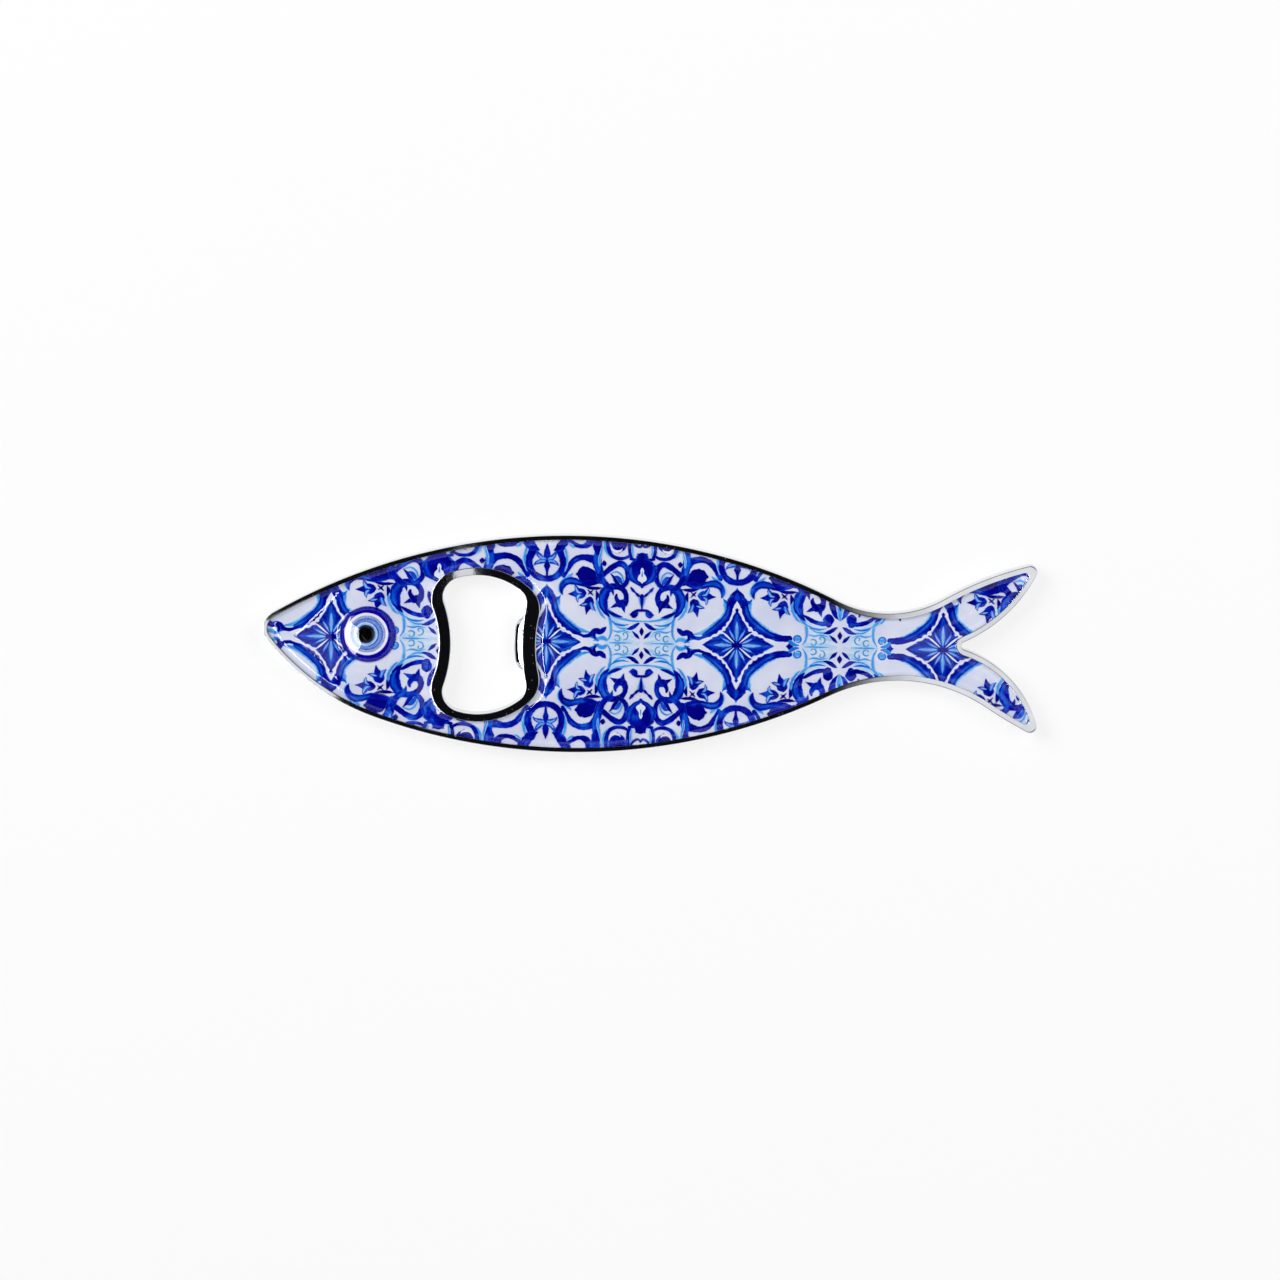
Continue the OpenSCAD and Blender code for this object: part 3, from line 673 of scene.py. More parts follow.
# %% Wave, arch and frieze
WAVE_STROKES = [
    # wave, ball and crescent
    ("light", "", [(2.7, 8.6, .06), (2.35, 9.4, .22), (2.5, 10.3, .3), (3.3, 11.3, .4), (4.3, 11.9, .4),
                   (4.9, 12.5, .06)]),
    ("cobalt", "", [(3.0, 8.45, .04), (2.8, 9.1, .3), (2.8, 9.8, .48), (3.25, 10.6, .62), (4.2, 11.1, .7),
                    (5.4, 11.0, .62), (6.8, 10.6, .52), (8.2, 10.8, .65), (9.8, 11.5, .75)]),
    ("navy", "", [(5.75, 12.35, .3), (6.1, 12.35, .98), (6.6, 12.35, 1.3), (7.2, 12.35, 1.42),
                  (7.9, 12.35, 1.25), (8.8, 12.0, .9), (9.6, 11.7, .6)]),
    ("wash", "", [(3.2, 10.5, .1), (3.7, 10.9, .44), (4.6, 11.1, .5), (5.6, 10.95, .42),
                  (6.6, 10.65, .1)]),
    ("cobalt", "", [(3.2, 12.0, .4), (4.1, 13.6, .5), (5.1, 14.8, .55), (6.5, 15.4, .55),
                    (7.9, 15.3, .65), (9.1, 14.8, .8), (9.8, 13.4, .8), (10.0, 12.2, .7),
                    (10.2, 11.2, .6)]),
    ("mid", "", [(9.5, 16.6, .5), (9.5, 15.6, .7), (9.6, 14.4, .75), (9.7, 13.4, .5), (9.8, 12.6, .2)]),
    ("cobalt", "", [(9.5, 20, .85), (9.5, 18.0, .85), (9.5, 17.0, .8), (9.5, 16.2, .4)]),
    ("light", "", [(10.4, 17.5, .1), (10.2, 16.2, .25), (9.9, 15.0, .25), (9.9, 13.8, .1)]),
    # arch with palmette
    ("light", "", [(3.3, 17.3, .2), (3.65, 15.8, .34), (3.7, 14.4, .32), (3.3, 12.9, .2)]),
    ("cobalt", "", [(-.25, 11.4, .55), (.6, 11.45, .57), (1.5, 11.75, .6), (2.4, 12.5, .6),
                    (2.95, 13.7, .6), (2.95, 15.0, .62), (2.5, 16.2, .68), (2.35, 16.9, .8),
                    (2.9, 17.7, .85), (3.7, 18.8, .9), (4.2, 20, .9)]),
    ("cobalt", "", [(2.4, 17.0, .6), (1.8, 16.8, .4), (1.2, 16.5, .04)]),
    ("cobalt", "", [(0, 17.8, .04), (0, 16.9, .4), (0, 16.0, .62), (0, 15.2, .5), (0, 14.4, .25)]),
    ("mid", "", [(0.1, 14.6, .3), (0.9, 15.2, .42), (1.5, 15.9, .34), (1.7, 16.6, .04)]),
    ("mid", "", [(0.1, 14.5, .3), (1.0, 14.5, .42), (1.8, 14.2, .28), (2.2, 13.7, .04)]),
    ("light", "", [(0.2, 15.0, .1), (1.0, 15.2, .16), (1.5, 15.8, .05)]),
    ("light", "", [(0.3, 14.6, .1), (1.1, 14.6, .15), (1.8, 14.2, .05)]),
    ("cobalt", "", [(0, 14.5, .25), (0, 13.7, .6), (0, 13.1, .35), (0, 12.4, .22), (0, 11.6, .2)]),
    # frieze by the arch
    ("cobalt", "", [(4.1, 18.6, .3), (5.1, 17.8, .45), (6.4, 17.4, .38), (7.6, 17.7, .6), (8.2, 18.6, .7),
                    (8.3, 19.6, .7)]),
    ("light", "", [(4.0, 18.0, .1), (4.7, 17.4, .3), (5.2, 17.1, .1)]),
]
print("strokes:", len(WAVE_STROKES))

# %% [markdown]
# A bulb with a keyhole stands on the line between two tiles, with a chain and an anchor under it.
# A cup covers it, and a loop and a bowl lie beside it.

# %% Loop, bowl, cup and bulb
BULB_STROKES = [
    # loop beside the band
    ("navy", "", [(10.75, 14.95, .04), (10.8, 14.6, .4), (10.85, 14.2, .42), (10.9, 13.85, .05)]),
    ("cobalt", "", [(10.2, 12.0, .55), (11.4, 13.0, .5), (12.6, 13.9, .55), (13.9, 14.4, .55),
                    (14.9, 13.8, .55), (15.3, 12.6, .5), (15.2, 11.4, .45), (14.6, 10.5, .45),
                    (13.6, 10.0, .3)]),
    ("cobalt", "", [(10.2, 12.1, .55), (10.8, 11.0, .55), (11.6, 10.2, .55), (12.3, 9.9, .4)]),
    ("light", "", [(12.1, 12.6, .08), (13.2, 12.9, .2), (14.1, 12.3, .22), (14.5, 11.2, .15)]),
    ("mid", "", [(12.7, 12.1, .05), (13.4, 11.9, .3), (13.9, 11.2, .34), (14.2, 10.6, .1)]),
    ("cobalt", "", [(12.0, 12.6, .05), (12.6, 11.9, .26), (13.1, 11.1, .34), (13.7, 10.5, .2)]),
    # bowl
    ("light", "", [(10.8, 18.6, .3), (11.1, 16.9, .4), (12.0, 15.8, .35), (13.0, 15.4, .2)]),
    ("cobalt", "", [(11.4, 19.6, .4), (11.5, 17.4, .38), (12.1, 16.0, .36), (13.2, 15.4, .34),
                    (14.6, 15.4, .3), (15.6, 15.9, .24), (16, 16.6, .1)]),
    ("cobalt", "", [(13.6, 20, 1.7), (13.6, 18.6, 1.75), (13.6, 17.6, 1.5), (13.6, 16.9, 1.0),
                    (13.6, 16.5, .2)]),
    ("white", "", [(12.0, 17.8, .05), (12.3, 17.0, .2), (13.0, 16.55, .26), (13.9, 16.75, .16),
                   (14.2, 17.1, .04)]),
    # cup over the bulb
    ("cobalt", "", [(15.6, 18.6, .35), (15.6, 17.2, .35), (15.7, 16.2, .34), (16.0, 15.3, .3)]),
    ("light", "", [(16.15, 17.8, .2), (16.15, 16.6, .22), (16.3, 15.7, .1)]),
    ("cobalt", "", [(15.8, 15.3, .25), (16.8, 15.15, .3), (18, 15.2, .34)]),
    ("cobalt", "", [(16.2, 18.4, .2), (16.9, 17.7, .26), (17.6, 17.5, .22), (18, 17.9, .2)]),
    ("navy", "", [(17.0, 16.3, .05), (17.2, 16.15, .2), (17.4, 16.3, .05)]),
    # bulb with its keyhole, chain and anchor
    ("cobalt", "", [(18, 15.3, 1.2), (18, 14.7, 2.1), (18, 13.8, 2.7), (18, 12.8, 2.85), (18, 11.8, 2.5),
                    (18, 11.0, 1.7), (18, 10.3, .3)]),
    ("wash", "", [(15.9, 13.9, .1), (15.8, 13.0, .45), (16.1, 12.0, .5), (16.8, 11.2, .3),
                  (17.4, 10.8, .05)]),
    ("white", "", [(18, 13.7, .12), (18, 13.2, .34), (18, 12.7, .3), (18, 12.3, .6), (18, 11.85, .86),
                   (18, 11.4, .75), (18, 11.1, .2)]),
    ("teal", "", [(18, 13.2, .04), (18, 12.7, .14), (18, 12.2, .2), (18, 12.0, .04)]),
    ("cobalt", "1", [(15.9, 10.1, .14), (16.3, 9.6, .3), (16.7, 9.25, .16), (17.2, 8.8, .28),
                     (17.6, 8.45, .17), (18, 8.1, .28)]),
    ("light", "1", [(17.4, 8.4, .1), (17.65, 7.6, .2), (17.8, 6.8, .1)]),
    ("cobalt", "1", [(18, 8.6, .4), (18, 7.6, .32), (18, 6.7, .2), (18, 6.0, .1)]),
    ("cobalt", "1", [(15.9, 5.2, .2), (16.15, 5.2, .5), (16.5, 5.2, .64), (16.9, 5.25, .45),
                     (17.1, 5.5, .25)]),
    ("cobalt", "1", [(16.4, 5.6, .25), (17.1, 5.95, .26), (18, 6.0, .24)]),
]
print("strokes:", len(BULB_STROKES))

# %% [markdown]
# A stroke's few points become a smooth curve, and the curve becomes a ribbon. Blender's own curves could do
# that, but a ribbon made here knows its place across and along the stroke, and the glaze needs both to
# streak and thin out the way paint does.

# %% Ribbons
STROKES = STAR_STROKES + LILY_STROKES + SCROLL_STROKES + WAVE_STROKES + BULB_STROKES
CURVE_STEPS, PATH_STEP, LEAST_POINTS = 24, 0.16, 5
CAP_FROM, CAP_STEPS = 0.12, 6
WIDE_STROKE, FINEST = 0.9, 0.012
# a slow and a quick sine: share of the half width, turn to a millimetre in radians, and share of the phase
WAVERS = [(0.05, 2.7, 1.0), (0.04, 7.1, 2.3)]


def round_start(curve):
    """The curve with a half circle before its first point, if the brush was down there."""
    width = curve[0, 2]
    if width <= CAP_FROM:
        return curve
    reach = width * np.sin(np.linspace(np.pi / 2, 0, CAP_STEPS, endpoint=False))[:, None]
    way = curve[0, :2] - curve[1, :2]
    cap = curve[0, :2] + reach * way / np.linalg.norm(way)
    half = np.sqrt(np.clip(width ** 2 - reach ** 2, 0, None))
    return np.vstack([np.column_stack([cap, half]), curve])


def smooth_path(points):
    """Catmull-Rom curve through the points, with round ends, then evenly spaced: u, v, half width, length."""
    p = np.array(points, float)
    ends = np.vstack([2 * p[0] - p[1], p, 2 * p[-1] - p[-2]])
    t = np.linspace(0, 1, CURVE_STEPS, endpoint=False)[:, None, None]
    a, b, c, d = ends[:-3], ends[1:-2], ends[2:-1], ends[3:]
    curve = 2 * b + (c - a) * t + (2 * a - 5 * b + 4 * c - d) * t ** 2 + (3 * b - a - 3 * c + d) * t ** 3
    curve = np.vstack([0.5 * curve.transpose(1, 0, 2).reshape(-1, 3), p[-1:]])
    for _ in range(2):
        curve = round_start(curve)[::-1]
    along = np.concatenate([[0], np.cumsum(np.linalg.norm(np.diff(curve[:, :2], axis=0), axis=1))])
    even = np.linspace(0, along[-1], max(LEAST_POINTS, int(along[-1] / PATH_STEP)))
    even = np.unique(np.concatenate([even, along[:CAP_STEPS + 1], along[-CAP_STEPS - 1:]]))
    return np.column_stack([np.interp(even, along, curve[:, k]) for k in range(3)] + [even])


def ribbon(path, phase):
    """A stroke's surface: the path plus across, from -1 to 1, times the half width along the path's normal.
    Two sines along the stroke, moved by the phase, let the half width waver as a hand does."""
    xy, along = path[:, :2], path[:, 3]
    way = np.gradient(xy, axis=0)
    way = way / np.maximum(np.linalg.norm(way, axis=1), 1e-9)[:, None]
    normal = np.stack([-way[:, 1], way[:, 0]], 1)
    waver = 1.0
    for share, pace, lag in WAVERS:
        waver = waver + share * np.sin(along * pace + lag * phase)
    half = np.maximum(path[:, 2], FINEST) * waver
    across = np.linspace(-1, 1, 5 if half.max() < WIDE_STROKE else 9)
    points = xy[:, None] + (across[None] * half[:, None])[..., None] * normal[:, None]
    uv = np.stack(np.broadcast_arrays(across[None], along[:, None]), -1)
    return points, uv


print("strokes in a quarter tile:", len(STROKES))

# %% [markdown]
# The tiles are laid from star to star along the fish. A mirrored copy of a stroke that lies on the mirror
# line would fall on itself, so that stroke is laid once. Faces that would lie outside the film are left out.
# Each stroke lies about a thousandth of a millimetre over the one before it, as paint does, so that it is
# plain which one is on top, and no two copies have quite the same edge.

# %% Lay the tiles
TILE_U, MIDDLE_Y, MIDDLE_FALL = 18.0, 0.15, 0.0113
STARS = [(-57.66, 18.8, 19.45), (-18.8, 19.45, 17.17), (15.55, 17.17, 18.62), (52.8, 18.62, 18.8)]
HALF_TILES = []
for i, (star_x, left_w, right_w) in enumerate(STARS):
    HALF_TILES += [(star_x, -1, left_w, "12"[i % 2]), (star_x, 1, right_w, "21"[i % 2])]
EYE, EYE_R = np.array([-51.0, 1.3]), 5.1
UNDER_RIM, UNDER_OPENING_RIM, UNDER_EYE = 0.3, 0.6, 0.4
FIRST_COAT, COAT, TILE_COAT, MIRROR_COAT, CLIMB = 0.005, 0.0014, 0.0005, 0.00025, 0.0004
LOOP_CHUNK = 64


def inside_loop(points, loop):
    """True where a point lies inside a loop: a ray to the right crosses it an odd number of times."""
    a, b = loop, np.roll(loop, -1, 0)
    px, py = points[:, :1], points[:, 1:]
    odd = np.zeros(len(points), bool)
    for start in range(0, len(loop), LOOP_CHUNK):
        (x0, y0), (x1, y1) = a[start:start + LOOP_CHUNK].T, b[start:start + LOOP_CHUNK].T
        spans = (y0 > py) != (y1 > py)
        cross = x0 + (py - y0) * (x1 - x0) / np.where(y1 == y0, 1e-12, y1 - y0)
        odd ^= (np.count_nonzero(spans & (px < cross), axis=1) % 2).astype(bool)
    return odd


def between(points, loops):
    """True where a point lies inside the first loop and outside the others."""
    keep = inside_loop(points, loops[0])
    for loop in loops[1:]:
        keep &= ~inside_loop(points, loop)
    return keep


def stroke_copies(path, kind):
    """Each copy of a stroke: its half tile's number, star, direction and width, and 1 or -1: up or down."""
    u, v = path[:, 0], path[:, 1]
    on_line = np.ptp(u) < 1e-6 and (u[0] == 0 or u[0] == TILE_U)
    on_axis = np.ptp(v) < 1e-6 and v[0] == 0
    for copy, (star, way, width, tile) in enumerate(HALF_TILES):
        for up in (1, -1):
            if kind in ("", tile) and not (on_line and way < 0) and not (on_axis and up < 0):
                yield copy, star, way, width, up


def lay_tiles():
    """Every copy of every stroke, by colour: its points, faces, brush coordinates and number."""
    film_edges = [face.at(rim_w - UNDER_RIM), hole_rim.at(UNDER_OPENING_RIM)]
    laid = {}
    for order, (colour, kind, points) in enumerate(STROKES):
        path = smooth_path(points)
        for copy, star, way, width, up in stroke_copies(path, kind):
            # any number that differs from copy to copy moves the waver and the streaks
            number = order * 0.37 + copy * 1.9 + up
            flat, uv = ribbon(path, number * 5)
            x = star + way * flat[..., 0] * width / TILE_U
            y = up * flat[..., 1] + MIDDLE_Y - MIDDLE_FALL * x
            xy = np.stack([x, y], -1).reshape(-1, 2)
            rows, across = x.shape
            faces = grid_faces(rows, across, closed=False)[:, ::way * up]
            middle = xy[faces].mean(1)
            keep = between(middle, film_edges) & (np.linalg.norm(middle - EYE, axis=1) > EYE_R - UNDER_EYE)
            if keep.any():
                used, faces = np.unique(faces[keep], return_inverse=True)
                z = FILM_TOP + FIRST_COAT + COAT * order + TILE_COAT * (copy % 2) + MIRROR_COAT * (up < 0)
                z = z + np.repeat(np.linspace(0, CLIMB, rows), across)[used]
                stroke = lift(xy[used], z), faces.reshape(-1, 4), uv.reshape(-1, 2)[used], number
                laid.setdefault(colour, []).append(stroke)
    return laid


laid_strokes = lay_tiles()
print("laid strokes:", {colour: len(strokes) for colour, strokes in laid_strokes.items()})

# %% [markdown]
# The blues are glazes: cobalt, and cobalt thinned with white. One flat blue would look like cut paper. Where
# the brush was dragged, a glaze streaks along the stroke, where it was wet it pools in darker patches, and
# at its border it thins out in a ragged fringe. The ribbon's own coordinates drive streaks and fringe, and
# Object coordinates drive the pools.

# %% Glazes
# streaks to a half width, streaks to a millimetre along, and a jump from one stroke to the next
HAIRS = (2.2, 0.45, 31.0)
POOL, RAG, RAG_DEPTH, STREAK_SHARE = 2.6 * MM, 0.55 * MM, 0.7, 0.35


def glaze(name, fringe, fringe_at, stops):
    """Painted glaze, matt under the resin, in a few close blues. The distance from the stroke's middle, plus
    a ragged noise, turns it to the fringe colour between the two places of fringe_at."""
    material, tree = new_material(name)
    place = add(tree, "ShaderNodeTexCoord").outputs["Object"]
    uv = add(tree, "ShaderNodeUVMap", uv_map="brush").outputs["UV"]
    part = add(tree, "ShaderNodeSeparateXYZ", {"Vector": uv})
    stroke = add(tree, "ShaderNodeAttribute", attribute_name="stroke").outputs["Fac"]
    brush = add(tree, "ShaderNodeCombineXYZ", {"X": part.outputs["X"], "Y": part.outputs["Y"], "Z": stroke})
    hairs = add(tree, "ShaderNodeVectorMath", {0: brush.outputs["Vector"], 1: HAIRS}, operation="MULTIPLY")
    streaks = add(tree, "ShaderNodeTexNoise", {"Vector": hairs.outputs["Vector"]}, Scale=1.0, Detail=3.0)
    pools = add(tree, "ShaderNodeTexNoise", {"Vector": place}, Scale=1 / POOL, Detail=2.0)
    blend = add(tree, "ShaderNodeMix", {"A": pools.outputs["Fac"], "B": streaks.outputs["Fac"]},
                Factor=STREAK_SHARE)
    paint = add(tree, "ShaderNodeValToRGB", {"Fac": blend.outputs["Result"]}, stops)
    side = add(tree, "ShaderNodeMath", {0: part.outputs["X"]}, operation="ABSOLUTE")
    rag = add(tree, "ShaderNodeTexNoise", {"Vector": place}, Scale=1 / RAG, Detail=2.0)
    ragged = add(tree, "ShaderNodeMath", {0: rag.outputs["Fac"], 1: RAG_DEPTH, 2: side.outputs["Value"]},
                 operation="MULTIPLY_ADD")
    border = add(tree, "ShaderNodeMapRange", {"Value": ragged.outputs["Value"]},
                 interpolation_type="SMOOTHSTEP", From_Min=fringe_at[0], From_Max=fringe_at[1])
    # a Mix node's colour sockets are its numbers 6 and 7, and its colour result is number 2
    mixed = {"Factor": border.outputs["Result"], 6: paint.outputs["Color"], 7: rgb(fringe)}
    colour = add(tree, "ShaderNodeMix", mixed, data_type="RGBA")
    surface = add(tree, "ShaderNodeBsdfPrincipled", {"Base Color": colour.outputs[2]}, Roughness=0.6,
                  Specular_IOR_Level=0.0)
    add(tree, "ShaderNodeOutputMaterial", {"Surface": surface.outputs["BSDF"]})
    return material


GLAZES = {
    "pale": glaze("pale blue wash", "#d9dff2", (0.6, 1.35),
                  [(0.34, "#98c6ec"), (0.48, "#b9d5ef"), (0.6, "#d4dff0")]),
    "light": glaze("light blue glaze", "#c4d8f3", (0.75, 1.4),
                   [(0.3, "#1f7ede"), (0.55, "#46a2ea"), (0.75, "#80c2f4")]),
    "wash": glaze("blue wash on cobalt", "#030e98", (0.45, 1.3),
                  [(0.3, "#0424ae"), (0.5, "#0a45ca"), (0.72, "#2a7ae2")]),
    "gleam": glaze("light glaze on cobalt", "#1a5cd2", (0.5, 1.3),
                   [(0.3, "#4f97e4"), (0.5, "#7db4ec"), (0.72, "#b6d4f3")]),
    "azure": glaze("azure glaze", "#5aa8ea", (1.1, 1.4),
                   [(0.3, "#0d52cc"), (0.5, "#1f78dc"), (0.72, "#58a6ea")]),
    "teal": glaze("blue-green line glaze", "#b8d6ee", (0.9, 1.45),
                  [(0.3, "#3a86c4"), (0.7, "#62acd8")]),
    "mid": glaze("bright blue glaze", "#0a36c0", (1.1, 1.4),
                 [(0.3, "#063cc4"), (0.55, "#0e55d8"), (0.75, "#2f86e6")]),
    "cobalt": glaze("cobalt blue glaze", "#0f50d0", (1.12, 1.4),
                    [(0.3, "#01016c"), (0.45, "#03048a"), (0.56, "#0518ac"), (0.68, "#1460da")]),
    "navy": glaze("deep cobalt glaze", "#0a1fb4", (1.15, 1.45),
                  [(0.3, "#02006c"), (0.7, "#060892")]),
    "white": glaze("white glaze", "#d0daf0", (1.15, 1.45),
                   [(0.3, "#dcdff0"), (0.7, "#ecebf5")]),
}
print("glazes:", [material.name for material in GLAZES.values()])

# %% [markdown]
# All strokes of one glaze are one piece. Its brush coordinates go into a UV map, and the strokes' numbers
# into an attribute, so that every stroke streaks in its own way.

# %% Ornament pieces
for colour, strokes in laid_strokes.items():
    parts = [(points, faces) for points, faces, uv, number in strokes]
    piece = make_piece("ornament_" + colour, parts, GLAZES[colour], smooth=False)
    brush = np.concatenate([uv for points, faces, uv, number in strokes])
    corner = np.empty(len(piece.data.loops), np.int32)
    piece.data.loops.foreach_get("vertex_index", corner)
    layer = piece.data.uv_layers.new(name="brush")
    layer.data.foreach_set("uv", brush[corner].ravel())
    numbers = np.concatenate([np.full(len(points), number) for points, faces, uv, number in strokes])
    piece.data.attributes.new("stroke", "FLOAT", "POINT").data.foreach_set("value", numbers)

# %% [markdown]
# The eye
#
# The eye is a printed disc under a clear dome. Rings in a material would be quick, but their edges blur up
# close, so the rings are flat annuli, one over the other. Fine ticks run round the white one, as on a
# painted iris, and each ink mottles a little.

# %% Eye disc
EYE_Z, INK_COAT, INK_MOTTLE = FILM_TOP + 0.2, 0.002, 0.9 * MM
# a full disc is a ring down to CORE_R, so that all its faces are quads
RING_POINTS, CORE_R = 128, 0.02
IRIS, PUPIL, PUPIL_CORE = EYE + [-0.2, 0.05], EYE + [-0.4, 0.05], EYE + [-0.46, 0.01]


def print_ink(name, dark, light):
    """Printed ink on a disc: matt under the dome, in two close tones that mottle."""
    material, tree = new_material(name)
    place = add(tree, "ShaderNodeTexCoord").outputs["Object"]
    mottle = add(tree, "ShaderNodeTexNoise", {"Vector": place}, Scale=1 / INK_MOTTLE, Detail=3.0)
    ink = add(tree, "ShaderNodeValToRGB", {"Fac": mottle.outputs["Fac"]}, [(0.35, dark), (0.65, light)])
    surface = add(tree, "ShaderNodeBsdfPrincipled", {"Base Color": ink.outputs["Color"]}, Roughness=0.6,
                  Specular_IOR_Level=0.0)
    add(tree, "ShaderNodeOutputMaterial", {"Surface": surface.outputs["BSDF"]})
    return material


def circle(n):
    """n points on the unit circle, evenly spaced."""
    a = np.linspace(0, 2 * np.pi, n, endpoint=False)
    return np.stack([np.cos(a), np.sin(a)], 1)


def annulus(middle, inner, outer, coat):
    """A flat ring between two radii, so many coats of ink above the disc: radius by angle."""
    rows = [lift(middle + r * circle(RING_POINTS), EYE_Z + INK_COAT * coat) for r in (outer, inner)]
    return np.concatenate(rows), grid_faces(2, RING_POINTS)


def ticks(middle, inner, outer, count, half, coat, twist=0.0):
    """Thin radial ticks, each a quad from the inner to the outer radius that narrows outwards."""
    a = np.repeat(np.arange(count) * 2 * np.pi / count + twist, 4)
    r = np.tile([inner, outer, outer, inner], count)
    s = np.tile([-half, -half * 0.4, half * 0.4, half], count)
    flat = middle + np.stack([r * np.cos(a) - s * np.sin(a), r * np.sin(a) + s * np.cos(a)], 1)
    return lift(flat, EYE_Z + INK_COAT * coat), np.arange(4 * count).reshape(-1, 4)


INKS = {
    "blue": print_ink("eye blue ink", "#05008a", "#0908a6"),
    "white": print_ink("eye white ink", "#e4e6f4", "#f2f2fa"),
    "sky": print_ink("eye sky blue ink", "#7fb2ee", "#abcff6"),
    "bright": print_ink("eye bright blue ink", "#1440bc", "#2f6cd8"),
    "grey": print_ink("eye grey ink", "#1c1d26", "#34363f"),
    "black": print_ink("eye black ink", "#020204", "#08080b"),
}
EYE_RINGS = {
    "blue": [annulus(EYE, CORE_R, EYE_R, 0), upright(EYE + EYE_R * circle(RING_POINTS), EYE_Z, FILM_TOP),
             ticks(IRIS, 2.7, 3.36, 72, 0.045, 10), ticks(PUPIL, 1.95, 2.5, 48, 0.05, 11, 0.04)],
    "white": [annulus(IRIS, 3.3, 3.85, 2), annulus(PUPIL, CORE_R, 2.12, 12),
              ticks(IRIS, 2.95, 3.4, 72, 0.075, 6, 0.04)],
    "sky": [ticks(IRIS, 2.2, 3.1, 60, 0.075, 7, 0.02), annulus(PUPIL, CORE_R, 2.02, 14)],
    "bright": [annulus(IRIS, CORE_R, 3.35, 4), ticks(PUPIL, 1.62, 1.95, 40, 0.05, 16)],
    "grey": [annulus(PUPIL, CORE_R, 1.66, 18)],
    "black": [annulus(PUPIL_CORE, CORE_R, 1.22, 20)],
}
for colour, parts in EYE_RINGS.items():
    piece = make_piece("eye_" + colour, parts, INKS[colour], smooth=False)
    if colour == "blue":
        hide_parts("eye_disc")

# %% [markdown]
# Clear resin
#
# Doming resin was poured on the print and set there. Glass with refraction would be the usual shader, but
# in so thin a layer nothing bends visibly, and such glass shades what lies under it. So the look is a clear
# coat: see-through, with Fresnel reflections from its upper surface, and wholly clear where it wets the
# print.

# %% Resin look
RESIN_IOR, RIPPLE, FACES_UP = 1.5, 9 * MM, 0.15


def clear_resin():
    """Clear doming resin, set in the open: smooth and glossy, with a slow ripple. A ray that comes from
    inside meets the inverse index."""
    material, tree = new_material("clear doming resin")
    place = add(tree, "ShaderNodeTexCoord").outputs["Object"]
    ripple = add(tree, "ShaderNodeTexNoise", {"Vector": place}, Scale=1 / RIPPLE, Detail=1.0)
    wave = add(tree, "ShaderNodeBump", {"Height": ripple.outputs["Fac"]}, Strength=0.05, Distance=0.3 * MM)
    inner_side = add(tree, "ShaderNodeNewGeometry").outputs["Backfacing"]
    index = add(tree, "ShaderNodeMapRange", {"Value": inner_side}, To_Min=RESIN_IOR, To_Max=1 / RESIN_IOR)
    fresnel = add(tree, "ShaderNodeFresnel",
                  {"Normal": wave.outputs["Normal"], "IOR": index.outputs["Result"]})
    clear = add(tree, "ShaderNodeBsdfTransparent", Color=rgb("#fdfeff"))
    shine = add(tree, "ShaderNodeBsdfGlossy", {"Normal": wave.outputs["Normal"]}, Roughness=0.03)
    both = add(tree, "ShaderNodeMixShader",
               {0: fresnel.outputs["Fac"], 1: clear.outputs["BSDF"], 2: shine.outputs["BSDF"]})
    add(tree, "ShaderNodeOutputMaterial", {"Surface": both.outputs["Shader"]})
    return material


def clear_bond():
    """Where the resin wets the print nothing reflects: wholly clear."""
    material, tree = new_material("resin bond")
    clear = add(tree, "ShaderNodeBsdfTransparent")
    add(tree, "ShaderNodeOutputMaterial", {"Surface": clear.outputs["BSDF"]})
    return material


resin_look, bond = clear_resin(), clear_bond()


def bond_below(piece):
    """Gives the faces that look down or sideways the bond instead of the shiny surface."""
    up = np.empty(3 * len(piece.data.polygons), np.float32)
    piece.data.polygons.foreach_get("normal", up)
    piece.data.materials.append(bond)
    piece.data.polygons.foreach_set("material_index", (up[2::3] < FACES_UP).astype(np.int32))


print("finishes:", resin_look.name, "and", bond.name)

# %% [markdown]
# The resin crept to the rim, where surface tension rounds it off. Its height depends on the distance to the
# nearest border: steep there, flat further in. A plain minimum would leave creases where two borders are
# equally near, so a soft minimum over the borders is taken. A small fillet climbs the eye, and the second
# pour ends in a shallow V before the nose.

# %% Height of the resin
RESIN_EDGE_Z, RESIN_FOOT_Z, SOFT = 3.66, 3.48, 0.3
RESIN_FLANKS = [(0.65, 0.55, 1.1), (0.1, 1.0, 4.0)]
BORDER_GAP, EYE_FILLET = 0.25, 0.4
STEP_AT, STEP_SLOPE, STEP_W = np.array([-64.1, 1.0]), 0.42, 0.32
STEP_END_X, STEP_FADE, DIAGONAL = -56.2, 0.9, math.sqrt(0.5)
POINT_CHUNK = 1500

# arcs of the nose and the back, of the chin and the belly, and of the two sides of the fork
BORDER_ARCS = [0, 10, 11, 12], [1, 2, 3, 4], [8, 9], [5, 6]
along_borders = [np.isin(face.arc, arcs) for arcs in BORDER_ARCS]
borders = [(face.at(rim_w)[part], face.normal[part]) for part in along_borders]
borders.append((hole_rim.at(0.0), hole_rim.normal))


def border_distance(points, border, normal):
    """Distance to a border: to the line through its nearest point, or to that point beyond its end."""
    nearest = np.argmin(((points[:, None] - border[None]) ** 2).sum(-1), axis=1)
    gap = points - border[nearest]
    over = (gap * normal[nearest]).sum(1)
    beside = np.sqrt(np.clip((gap ** 2).sum(1) - over ** 2, 0, None))
    return np.hypot(over, np.clip(beside - BORDER_GAP, 0, None))


